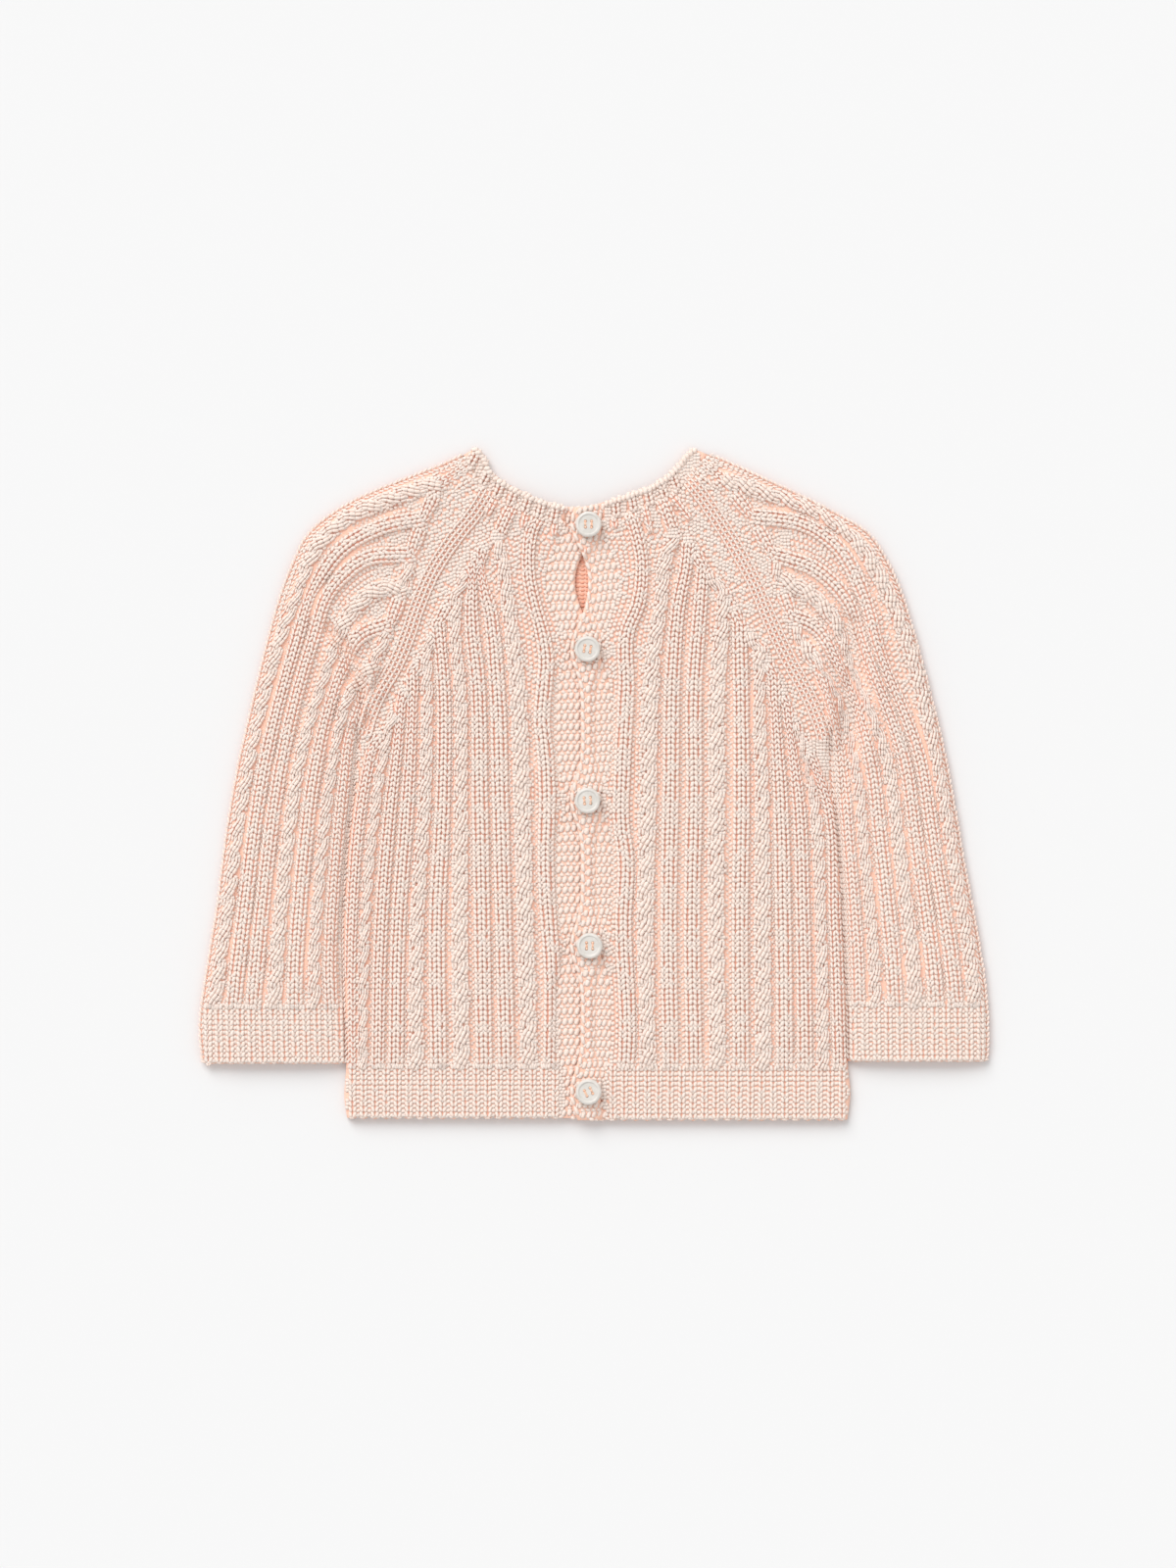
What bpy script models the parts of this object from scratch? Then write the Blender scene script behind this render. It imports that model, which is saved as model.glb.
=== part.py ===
"""A baby's merino sweater, laid flat on a table with its buttoned back upwards.

It is knitted in broad ribs, two plain and one roped, with raglan sleeves, a ribbed neck,
cuffs and hem, and two knitted bands that close the centre back with five buttons. Each
knitted piece is one wall: a plain inside, and ribs and cables raised in its outer face.
All tables are in millimetres, with x across the sweater, y from hem to neck and z up.
"""
import math

import bmesh
import bpy
import numpy as np
from mathutils import Matrix
from mathutils.geometry import delaunay_2d_cdt

MM = 0.001

# Walls and levels
FRONT_WALL = 2.4        # the front lies underneath, flat on the table
BACK_WALL = 2.0         # ground of the back, between its ribs
SLEEVE_WALL = 2.0
UNDER_BAND_WALL = 1.25
OVER_BAND_WALL = 1.5
NECK_WALL = 2.0
SEAM_GAP = 0.3          # left between pieces that are linked or lie on each other
CURVE_SLACK = 0.05      # and a little more along a curve, whose chords differ on its two sides
LOFT = 2.0              # how far the back stands off the front at mid-body
SLEEVE_LOFT = 1.3
SLEEVE_SLOT = 0.6       # least room between a sleeve's two layers
RIM_WALL = 2.2          # the back's rolled side, and a sleeve's lower layer
RIM_SLOPE = 0.5         # how far in from there the back's underside reaches its full height
ROLL = 6.0              # radius in plan of a rolled side
ROLL_INSET = 1.1        # how far in a line of points shapes the roll
EDGE_TOP = 1.6          # height where a rolled side turns down
EDGE_UNDER = 0.9        # height where a sleeve's side turns under
UNDER_TURN = 1.6        # how far in from its side a sleeve's underside is flat
TUBE_WALL = 2.4         # a sleeve's wall at its two long edges

# Distances between points: along an outline, along a line inside it, along a straight rib
EDGE_STEP = 9.0
LINE_STEP = 12.0
RIB_STEP = 22.0
END_CLEAR = 1.1         # from the end of an inner line to the outline

# Ribs
RIB_RISE = 1.3
CABLE_RISE = 1.9
CABLE_DIP = 0.8         # height of a cable between its crossings
CABLE_STEP = 5.0        # half the distance between a cable's crossings
CROWN_SHARE = 0.24      # half the flat top of a rib, against the ribs' spacing
SLEEVE_CROWN = 1.8
TRIM_RISE = 0.9         # the single ribs of the hem, cuffs and neck
TRIM_PITCH = 5.3
NECK_PITCH = 6.6
GARTER_RISE = 0.35      # the ridges across the two button bands
GARTER_PITCH = 5.0
HEM_TOP = -133.0
CUFF_DEPTH = 27.0
NECK_DEPTH = 7.0
RAGLAN_HALF = 3.1       # half the width of the three-stitch rib along the raglan
RAGLAN_CROWN = 1.8
RAGLAN_RISE = 1.0

# Buttons
BUTTON_WIDTH = 12.1
BUTTON_THICK = 2.3
BUTTON_RIM = 1.3
BUTTON_DISH = 0.5
BUTTON_HOLE = 1.5
HOLE_SPACING = 2.9
BUTTON_SIDES = 24
HOLE_SIDES = 10
# x, y and turn in degrees of each, from the neck down
BUTTONS = [(-2.5, 121.5, 0.0), (-3.0, 63.0, -10.0), (-3.0, -8.0, 4.0), (-2.0, -76.0, 0.0),
           (-2.5, -144.5, 25.0)]

PLACKET_TOP = 140.0     # above the neck edge, which cuts the placket's lines off

# The placket: how far its bands lean towards each button, and part at the keyhole
KEYHOLE_Y = 95.0
KEYHOLE_REACH = 17.0
BUTTON_REACH = 12.5
BAND_WIDTH = 13.8
BAND_CLEAR = 0.5        # between the two bands
OVER_REST = 0.9         # how far past the lower band the upper one stays level
OVER_SLOPE = 3.0
SHOULDER_DROP = 2.1     # how much lower the neck ribbing lies at the shoulders

# Outer edge of each sleeve, from cuff to neck: x, y
LEFT_OUTER = [(-183.5, -131.5), (-184.85, -112.5), (-182.6, -95.0), (-177.0, -60.0), (-171.5, -18.5),
              (-166.0, 12.0), (-159.5, 40.0), (-153.0, 67.0), (-143.5, 97.5), (-134.0, 117.0),
              (-117.5, 130.0), (-101.0, 138.0), (-84.5, 144.5), (-67.0, 151.5), (-55.0, 158.0)]
RIGHT_OUTER = [(184.5, -130.5), (185.0, -115.5), (183.5, -95.0), (179.0, -66.0), (174.5, -42.0),
               (169.5, -13.0), (164.0, 16.5), (157.0, 45.0), (149.5, 72.5), (141.0, 97.5),
               (129.0, 117.0), (111.0, 128.0), (86.5, 140.0), (61.5, 151.5), (46.5, 157.5)]
# Middle of each raglan's rib, from neck to underarm: x, y
LEFT_RAGLAN = [(-45.0, 147.0), (-53.5, 130.5), (-67.0, 113.0), (-76.5, 98.0), (-83.0, 82.5),
               (-88.5, 66.5), (-94.0, 54.0), (-101.0, 42.0), (-105.5, 31.5), (-107.5, 24.0)]
RIGHT_RAGLAN = [(40.0, 149.0), (53.5, 131.0), (67.0, 110.0), (76.0, 93.0), (83.5, 75.0),
                (91.5, 58.0), (99.5, 43.5), (105.5, 30.0), (108.0, 22.5)]
# Folded side of the body, from hem to underarm: x, y
LEFT_SIDE = [(-116.0, -157.2), (-117.2, -149.5), (-116.5, -133.5), (-117.5, -95.0), (-118.0, -64.5),
             (-116.5, -36.5), (-113.0, -4.5), (-110.5, 23.0)]
RIGHT_SIDE = [(119.2, -158.0), (120.6, -145.5), (119.5, -133.5), (119.0, -107.0), (117.5, -71.5),
              (115.5, -36.5), (113.0, -7.0), (111.0, 21.5)]
# Bound-off neck edge of the back, from the left shoulder to the right: x, y
NECK_EDGE = [(-55.0, 158.0), (-51.0, 154.0), (-48.5, 147.5), (-43.0, 142.5), (-34.0, 137.5),
             (-25.0, 133.5), (-16.0, 130.8), (-8.0, 129.6), (0.0, 130.8), (8.5, 133.5),
             (17.5, 136.5), (27.0, 140.0), (34.5, 145.0), (39.5, 150.0), (43.0, 155.0), (46.5, 157.5)]
# The front's neckline, hidden under the back: x, y
FRONT_NECK = [(-46.0, 131.0), (-24.0, 119.5), (-3.0, 116.0), (17.0, 120.0), (39.0, 132.0)]

# Heights at which the body's ribs are placed
RIB_ROWS = (-132.5, -64.5, -4.5, 46.0)
# Body ribs, from the placket outwards: kind, x at each of RIB_ROWS, x and y of the top
LEFT_RIBS = [("plain", -20.0, -21.5, -22.5, -23.5, -26.0, 123.0),
             ("cable", -30.5, -32.0, -34.0, -36.0, -38.0, 128.0),
             ("plain", -41.0, -42.5, -44.0, -45.5, -51.5, 111.5),
             ("plain", -51.5, -52.5, -53.5, -54.5, -58.5, 102.0),
             ("cable", -62.0, -63.0, -62.5, -63.0, -66.5, 89.0),
             ("plain", -73.0, -73.5, -70.8, -70.7, -73.0, 76.0),
             ("cable", -83.5, -83.0, -79.3, -78.3, -79.0, 62.5),
             ("plain", -93.0, -91.6, -87.2, -85.3, -85.2, 52.0),
             ("plain", -101.5, -99.8, -94.8, -91.0, -91.0, 41.0),
             ("cable", -108.6, -107.4, -101.8, -97.0, -97.0, 28.5),
             ("plain", -113.4, -113.8, -108.4, -103.5, -103.6, 15.0)]
RIGHT_RIBS = [("plain", 14.5, 14.0, 13.5, 15.0, 17.5, 125.0),
              ("cable", 25.5, 24.0, 25.5, 27.0, 31.0, 131.0),
              ("plain", 36.0, 35.0, 36.0, 37.0, 44.0, 114.5),
              ("plain", 47.0, 46.0, 47.0, 47.0, 51.5, 101.5),
              ("cable", 58.0, 57.3, 57.5, 58.0, 61.0, 89.5),
              ("plain", 69.0, 68.5, 69.2, 68.8, 68.5, 75.0),
              ("cable", 79.5, 79.0, 78.8, 77.5, 77.0, 62.5),
              ("plain", 89.5, 88.8, 87.4, 85.0, 84.0, 51.0),
              ("plain", 99.0, 98.0, 95.6, 91.5, 90.8, 38.0),
              ("cable", 107.6, 106.2, 102.6, 97.5, 97.0, 26.0),
              ("plain", 115.4, 113.2, 108.8, 103.6, 103.4, 13.0)]
# How far up a sleeve's outer edge the shares below are read
SLEEVE_STATIONS = (28.5, 55.0, 85.0, 115.0, 145.0)
# Sleeve ribs, from the outer edge inwards: kind, share of the way across the lower sleeve, then
# the points that it passes on its way to the raglan, on the left sleeve and on the right
SLEEVE_RIBS = [
    ("cable", 0.08, [(-147.4, 67.6), (-138.9, 89.6), (-130.9, 109.5), (-122.9, 121.5), (-102.0, 133.5),
                     (-75.1, 143.4)],
     [(144.7, 73.6), (133.6, 97.6), (121.5, 115.5), (103.4, 128.5), (73.9, 140.4)]),
    ("plain", 0.22, [(-139.9, 65.6), (-131.4, 91.6), (-118.9, 109.5), (-97.0, 121.5), (-80.1, 124.5)],
     [(132.8, 65.6), (126.8, 87.6), (113.8, 111.5), (98.9, 121.5), (73.9, 125.5)]),
    ("plain", 0.36, [(-132.4, 65.6), (-122.9, 91.6), (-107.0, 105.5), (-86.0, 107.5)],
     [(125.8, 65.6), (118.8, 85.6), (103.9, 100.5), (83.9, 107.5)]),
    ("cable", 0.51, [(-122.9, 59.7), (-117.0, 75.6), (-102.0, 90.6), (-89.5, 92.1)],
     [(119.8, 57.7), (112.8, 76.6), (98.9, 90.6), (86.9, 95.6)]),
    ("plain", 0.655, [(-117.0, 55.7), (-110.5, 68.6), (-95.5, 75.1)],
     [(113.8, 57.7), (103.9, 73.6), (92.9, 78.6)]),
    ("cable", 0.80, [(-113.0, 44.0), (-103.0, 57.5)], [(110.8, 47.7), (99.9, 63.6)]),
    ("plain", 0.92, [(-114.5, 22.0)], [(115.0, 20.0)]),
]
# Largest folds: start x, y, end x, y, half width, height (a trough is negative)
FOLDS = [(-122.0, 72.0, -113.0, 34.0, 6.5, 1.3),
         (-126.0, 40.0, -121.0, 8.0, 5.0, -0.9),
         (119.0, 60.0, 117.0, -2.0, 6.0, -1.5),
         (124.0, 76.0, 131.0, 30.0, 7.0, 0.9)]


# ---------------------------------------------------------------- lines in plan
def curve(points, step):
    """A smooth line through the points, with a point about every step."""
    knots = np.array(points, float)
    chord = np.concatenate([[0.0], np.cumsum(np.linalg.norm(np.diff(knots, axis=0), axis=1))])
    tangent = np.gradient(knots, chord, axis=0)
    fine = []
    for i in range(len(knots) - 1):
        span = chord[i + 1] - chord[i]
        s = np.linspace(0.0, 1.0, 12, endpoint=False)[:, None]
        fine.append((2 * s**3 - 3 * s**2 + 1) * knots[i] + (s**3 - 2 * s**2 + s) * span * tangent[i]
                    + (3 * s**2 - 2 * s**3) * knots[i + 1] + (s**3 - s**2) * span * tangent[i + 1])
    fine = np.vstack(fine + [knots[-1:]])
    return spaced(fine, step)


def spaced(path, step):
    length = along(path)
    return point_at(path, np.linspace(0.0, length[-1], max(2, round(length[-1] / step) + 1)))


def close_ended(path, step):
    """The same, with its ends drawn in just enough to stay clear of an outline that crosses them."""
    stations = spaced(path, step)
    last = along(path)[-1] - END_CLEAR
    return np.vstack([point_at(path, END_CLEAR), stations[1:-1], point_at(path, last)])


def along(path):
    """Distance from the start of the path to each of its points."""
    return np.concatenate([[0.0], np.cumsum(np.linalg.norm(np.diff(path, axis=0), axis=1))])


def point_at(path, distance):
    length = along(path)
    return np.stack([np.interp(distance, length, path[:, axis]) for axis in range(2)], axis=-1)


def shifted(path, offset):
    """The path moved sideways, to its left where the offset is positive."""
    heading = np.gradient(path, axis=0)
    heading /= np.linalg.norm(heading, axis=1)[:, None]
    return path + np.asarray(offset)[..., None] * np.stack([-heading[:, 1], heading[:, 0]], axis=1)


def distance_to(points, path):
    """Least distance from each point to the path."""
    points = np.atleast_2d(points)
    start, run = path[:-1], np.diff(path, axis=0)
    share = ((points[:, None] - start) * run).sum(-1) / (run**2).sum(-1)
    nearest = start + np.clip(share, 0.0, 1.0)[..., None] * run
    return np.linalg.norm(points[:, None] - nearest, axis=-1).min(axis=1)


def inside(points, outline):
    """Whether each point lies inside the closed outline, by counting crossings."""
    x, y = np.atleast_2d(points).T
    count = np.zeros(len(x), int)
    for (x0, y0), (x1, y1) in zip(outline, np.roll(outline, -1, axis=0)):
        if y0 == y1:
            continue
        crosses = (y0 > y) != (y1 > y)
        count += crosses & (x < x0 + (y - y0) * (x1 - x0) / (y1 - y0))
    return count % 2 == 1


def cut_at(path, other):
    """The path up to the place where it first meets the other path."""
    for i in range(len(path) - 1):
        for j in range(len(other) - 1):
            a, b = path[i + 1] - path[i], other[j + 1] - other[j]
            turn = a[0] * b[1] - a[1] * b[0]
            if abs(turn) < 1e-9:
                continue
            gap = other[j] - path[i]
            s = (gap[0] * b[1] - gap[1] * b[0]) / turn
            t = (gap[0] * a[1] - gap[1] * a[0]) / turn
            if 0 <= s <= 1 and 0 <= t <= 1:
                return np.vstack([path[:i + 1], path[i] + s * a])
    return path


def swell(y, centres, reach):
    """A soft rise to 1 at each centre."""
    return sum(np.exp(-((y - centre) / reach) ** 2) for centre in centres)


BUTTON_YS = [y for _, y, _ in BUTTONS]


def under_band_left(y):
    return -17.0 + 4.5 * swell(y, BUTTON_YS, BUTTON_REACH) - 5.2 * swell(y, [KEYHOLE_Y], KEYHOLE_REACH)


def under_band_right(y):
    return under_band_left(y) + BAND_WIDTH - 0.6 * swell(y, [KEYHOLE_Y], KEYHOLE_REACH)


def over_band_left(y):
    return -6.0 - 5.2 * swell(y, BUTTON_YS, BUTTON_REACH) + 3.4 * swell(y, [KEYHOLE_Y], KEYHOLE_REACH)


def over_band_right(y):
    return over_band_left(y) + BAND_WIDTH


def placket_lean(x, y):
    """How far the ribs beside the placket lean outwards round the keyhole."""
    reach = np.exp(-((np.abs(x + 3.0) - 20.0) / 22.0).clip(0.0) ** 2)
    return 6.5 * swell(y, [KEYHOLE_Y], KEYHOLE_REACH) * reach


# ---------------------------------------------------------------- heights
def folds(points):
    total = np.zeros(len(points))
    for x0, y0, x1, y1, half, height in FOLDS:
        away = distance_to(points, np.array([(x0, y0), (x1, y1)]))
        total += height * np.exp(-(away / half) ** 2)
    return total


def body_loft(points):
    """Room left under the back: most at mid-body, none at the sides, hem and neck."""
    across = 1.0 - (points[:, 0] / 118.0) ** 2
    along_body = 1.0 - ((points[:, 1] + 20.0) / 150.0) ** 2
    return LOFT * across.clip(0.0) * along_body.clip(0.0)


def roll(away, top, edge):
    """Height of a rolled side, away from its edge."""
    turn = 1.0 - (away / ROLL).clip(0.0, 1.0)
    return edge + (top - edge) * np.sqrt(1.0 - turn**2)


# ---------------------------------------------------------------- solids
def sheet_of(outline, lines, height):
    """Triangles over the outline that follow each line. A line is points and their rise."""
    points, heights, edges = [], [], []

    def add(path, rise, closed):
        first = len(points)
        points.extend(map(tuple, path))
        heights.extend(height(path) + rise)
        edges.extend((first + i, first + i + 1) for i in range(len(path) - 1))
        if closed:
            edges.append((len(points) - 1, first))

    add(outline, 0.0, True)
    for path, rise in lines:
        add(path, rise, False)
    flat, _, faces, source, _, _ = delaunay_2d_cdt(points, edges, [], 1, 1e-5)
    if not all(source):
        raise ValueError("two of a panel's lines cross")
    solid_points = [(*points[first[0]], heights[first[0]]) for first in source]
    place = {i: new for new, olds in enumerate(source) for i in olds}
    return solid_points, faces, [place[i] for i in range(len(outline))]


def kept_lines(lines, outline, clear=0.9):
    """The stretches of the lines that are inside the outline and not too near to it."""
    ring = np.vstack([outline, outline[:1]])
    kept = []
    for path, rise in lines:
        rise = np.broadcast_to(np.asarray(rise, float), len(path))
        keep = inside(path, outline) & (distance_to(path, ring) > clear)
        for run in np.split(np.arange(len(path)), np.flatnonzero(~keep)):
            run = run[keep[run]]
            if len(run) > 1:
                kept.append((path[run], rise[run]))
    return kept


def make_object(name, points, faces, colour, roughness):
    mesh = bpy.data.meshes.new(name)
    mesh.from_pydata([tuple(MM * c for c in p) for p in points], [], faces)
    tidy = bmesh.new()
    tidy.from_mesh(mesh)
    bmesh.ops.recalc_face_normals(tidy, faces=tidy.faces)
    tidy.to_mesh(mesh)
    tidy.free()
    material = bpy.data.materials.new(name)
    material.use_nodes = True
    shader = material.node_tree.nodes["Principled BSDF"]
    shader.inputs["Base Color"].default_value = colour
    shader.inputs["Roughness"].default_value = roughness
    mesh.materials.append(material)
    obj = bpy.data.objects.new(name, mesh)
    bpy.context.scene.collection.objects.link(obj)
    return obj


def joined_sheets(sheets, walls):
    """One list of points and faces from several sheets, with walls between their rims."""
    points, faces, start = [], [], []
    for sheet_points, sheet_faces, _ in sheets:
        start.append(len(points))
        faces.extend([start[-1] + i for i in face] for face in sheet_faces)
        points.extend(sheet_points)
    faces.extend([start[sheet] + i for sheet, i in wall] for wall in walls)
    return points, faces


def panel(name, outline, top, under, top_lines, under_lines=()):
    """A knitted piece of one wall, between its top and its underside."""
    upper = sheet_of(outline, kept_lines(top_lines, outline), top)
    lower = sheet_of(outline, kept_lines(under_lines, outline), under)
    rim = range(len(outline))
    walls = [((0, upper[2][i]), (0, upper[2][i - 1]), (1, lower[2][i - 1]), (1, lower[2][i])) for i in rim]
    return make_object(name, *joined_sheets([upper, lower], walls), YARN, YARN_ROUGHNESS)


# ---------------------------------------------------------------- ribs
def rib_lines(path, kind, half, ends=(False, True)):
    """The two shoulders of a rib. A cable's rise and fall in turn, like a rope's strands."""
    step = CABLE_STEP if kind == "cable" else RIB_STEP
    middle = spaced(path, step)
    width = np.full(len(middle), half)
    rise = np.full(len(middle), RIB_RISE)
    left, right = rise.copy(), rise.copy()
    if kind == "cable":
        turn = np.arange(len(middle)) % 2 == 0
        left = np.where(turn, CABLE_RISE, CABLE_DIP)
        right = np.where(turn, CABLE_DIP, CABLE_RISE)
    for at_end, index in zip(ends, (0, -1)):
        if at_end:
            width[index] *= 0.25
            left[index] = right[index] = 0.3
    return [(shifted(middle, width), left), (shifted(middle, -width), right)]


def valley(one, other):
    """The line midway between two ribs, as far as the shorter of them goes."""
    reach = min(along(one)[-1], along(other)[-1]) - 4.0
    share = np.linspace(0.0, 1.0, max(3, round(reach / RIB_STEP)))
    return 0.5 * (point_at(one, share * reach) + point_at(other, share * reach))


def trim_lines(low, high, pitch, ends=(0.06, 0.94)):
    """Single ribs between two edges: a crown and a valley in turn, drawn from low to high."""
    count = 2 * round(along(low)[-1] / pitch)
    shares = np.linspace(0.0, 1.0, count + 1)[1:-1]
    lines = []
    for i, share in enumerate(shares):
        start = point_at(low, share * along(low)[-1])
        end = point_at(high, share * along(high)[-1])
        rise = TRIM_RISE if i % 2 == 0 else 0.0
        lines.append((start + np.array(ends)[:, None] * (end - start), rise))
    return lines


# ---------------------------------------------------------------- the garment's lines
neck_edge = curve(NECK_EDGE, 2.0)
outer_edges = {"left": curve(LEFT_OUTER, 3.0), "right": curve(RIGHT_OUTER, 3.0)}
raglans = {"left": curve(LEFT_RAGLAN, 3.0), "right": curve(RIGHT_RAGLAN, 3.0)}
sides = {"left": curve(LEFT_SIDE, 3.0), "right": curve(RIGHT_SIDE, 3.0)}
ribs_of = {"left": LEFT_RIBS, "right": RIGHT_RIBS}
OUT = {"left": -1.0, "right": 1.0}     # which way is outwards, along x


def below_neck(depth):
    """The line that runs so far below the neck edge, carried past both shoulders."""
    run_out = 8.0
    first, last = neck_edge[0] - neck_edge[1], neck_edge[-1] - neck_edge[-2]
    ends = [neck_edge[0] + run_out * first / np.linalg.norm(first),
            neck_edge[-1] + run_out * last / np.linalg.norm(last)]
    return shifted(np.vstack([ends[0], neck_edge, ends[1]]), -depth)


def seam(side, offset):
    """The raglan seam, from under the neck ribbing down, moved outwards by the offset."""
    line = shifted(raglans[side], OUT[side] * (RAGLAN_HALF + offset))
    return cut_at(line[::-1], below_neck(NECK_DEPTH + SEAM_GAP))[::-1]


def neck_part(start, end, depth):
    """A stretch of the line that runs below the neck edge, between two points near it."""
    line = below_neck(depth)
    picks = [np.linalg.norm(line - point, axis=1).argmin() for point in (start, end)]
    low, high = min(picks), max(picks)
    part = line[low + 1:high]
    part = part if picks[0] < picks[1] else part[::-1]
    return np.vstack([start, spaced(part, 6.0), end])


def upright(edge_x, offset, low, high):
    """One edge of the placket, from the hem upwards."""
    ys = np.linspace(low, high, round((high - low) / 4.0))
    return np.stack([edge_x(ys) + offset, ys], axis=1)


def body_top(side):
    def height(points):
        away = distance_to(points, sides[side])
        ground = FRONT_WALL + SEAM_GAP + body_loft(points) + BACK_WALL + folds(points)
        return roll(away, ground, EDGE_TOP)
    return height


def body_under(side):
    def height(points):
        away = distance_to(points, sides[side])
        ceiling = FRONT_WALL + SEAM_GAP + body_loft(points)
        return np.where(away < RIM_WALL + 0.1, 0.0, ceiling)
    return height


def make_back(side):
    """Half of the back: ribs and cables, the ribbed hem and the rib along the raglan."""
    out = OUT[side]
    edge_x = under_band_left if side == "left" else over_band_right
    side_line = spaced(sides[side], EDGE_STEP)
    seam_line = spaced(seam(side, -SEAM_GAP / 2), EDGE_STEP)
    placket = upright(edge_x, out * SEAM_GAP, side_line[0][1], PLACKET_TOP)
    placket = cut_at(placket, below_neck(NECK_DEPTH + SEAM_GAP))[::-1]
    neck_line = neck_part(seam_line[0], placket[0], NECK_DEPTH + SEAM_GAP)
    hem_count = 2 * round(abs(placket[-1][0] - side_line[0][0]) / TRIM_PITCH)
    hem = np.linspace(placket[-1], side_line[0], hem_count + 1)
    outline = np.vstack([hem[:-1], side_line[:-1], seam_line[::-1][:-1], neck_line[:-1], placket[:-1]])

    paths, lines = [], []
    for kind, *xs, top_x, top_y in ribs_of[side]:
        heights = [y for y in RIB_ROWS if y < top_y - LINE_STEP]
        knots = [(x, y) for x, y in zip(xs, heights)] + [(top_x, top_y)]
        path = curve(knots, 3.0)
        path[:, 0] += out * placket_lean(path[:, 0], path[:, 1])
        paths.append(path)
    spacing = abs(paths[-1][0][0] - paths[0][0][0]) / (len(paths) - 1)
    for index, (path, (kind, *_)) in enumerate(zip(paths, ribs_of[side])):
        near = paths[max(index - 1, 0)], paths[min(index + 1, len(paths) - 1)]
        pitch = min(abs(n[0][0] - path[0][0]) for n in near if n is not path)
        lines += rib_lines(path, kind, CROWN_SHARE * min(pitch, spacing))
    lines += [(valley(a, b), 0.0) for a, b in zip(paths, paths[1:])]

    hem_top = np.linspace((placket[-1][0], HEM_TOP - 2.0), (side_line[0][0], HEM_TOP - 2.0), len(hem))
    lines += trim_lines(hem, hem_top, TRIM_PITCH)
    for offset, rise in ((-RAGLAN_HALF, 0.0), (-RAGLAN_CROWN, RAGLAN_RISE), (RAGLAN_CROWN, RAGLAN_RISE)):
        lines.append((spaced(shifted(raglans[side], out * offset), EDGE_STEP), rise))
    lines.append((spaced(shifted(sides[side], out * ROLL_INSET), LINE_STEP), 0.0))
    under = [(close_ended(shifted(sides[side], out * inset), LINE_STEP), 0.0)
             for inset in (RIM_WALL, RIM_WALL + RIM_SLOPE)]
    return panel(f"back_{side}", outline, body_top(side), body_under(side), lines, under)


def make_front():
    """The front, underneath: its underside is the flat face that the sweater lies on."""
    inset = RIM_WALL + RIM_SLOPE + SEAM_GAP + 2 * CURVE_SLACK
    left = spaced(shifted(sides["left"], -inset), 10.0)
    right = spaced(shifted(sides["right"], inset), 10.0)
    seams = {side: spaced(seam(side, -SEAM_GAP / 2), 10.0) for side in raglans}
    neck = curve([seams["left"][0]] + FRONT_NECK + [seams["right"][0]], 8.0)
    outline = np.vstack([right, seams["right"][::-1][1:-1], neck[::-1], seams["left"][1:-1], left[::-1]])
    flat = lambda level: (lambda points: np.full(len(points), level))
    return panel("front", outline, flat(FRONT_WALL), flat(0.0), [])


def sleeve_paths(side, outer, inner):
    """The middle line of each of a sleeve's ribs, from above the cuff to the raglan."""
    widths, level = distance_to(outer, inner), along(outer)
    stations = [np.abs(level - distance).argmin() for distance in SLEEVE_STATIONS]
    paths = []
    for _, share, *points in SLEEVE_RIBS:
        lower = shifted(outer, OUT[side] * share * widths)[stations]
        paths.append(curve([tuple(point) for point in lower] + points[0 if side == "left" else 1], 3.0))
    return paths


def tube_walls(outline, hollow, free, over, below, roof, floor):
    """Faces between a sleeve's four sheets: its two long sides, the hollow's, and the open ends.

    free holds the outline's edges along the two long sides. At the ends, the hollow's outline
    runs on the outer one, and stops one point short of its corners.
    """
    place = {tuple(np.round(point, 6)): i for i, point in enumerate(hollow)}
    match = [place.get(tuple(np.round(point, 6))) for point in outline]
    walls = []
    for i in range(len(outline)):
        j = (i + 1) % len(outline)
        high, low = [(0, over[i]), (0, over[j])], [(1, below[j]), (1, below[i])]
        a, b = match[i], match[j]
        if i in free:
            walls.append(high + low)
        elif a is None:
            walls.append(high + [(2, roof[b]), (3, floor[b])] + low)
        elif b is None:
            walls.append(high + low + [(3, floor[a]), (2, roof[a])])
        else:
            walls.append(high + [(2, roof[b]), (2, roof[a])])
            walls.append([(3, floor[a]), (3, floor[b])] + low)
    at_ends = {i for i in match if i is not None}
    for a in range(len(hollow)):
        b = (a + 1) % len(hollow)
        if not {a, b} <= at_ends:
            walls.append([(2, roof[a]), (2, roof[b]), (3, floor[b]), (3, floor[a])])
    return walls


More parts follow.
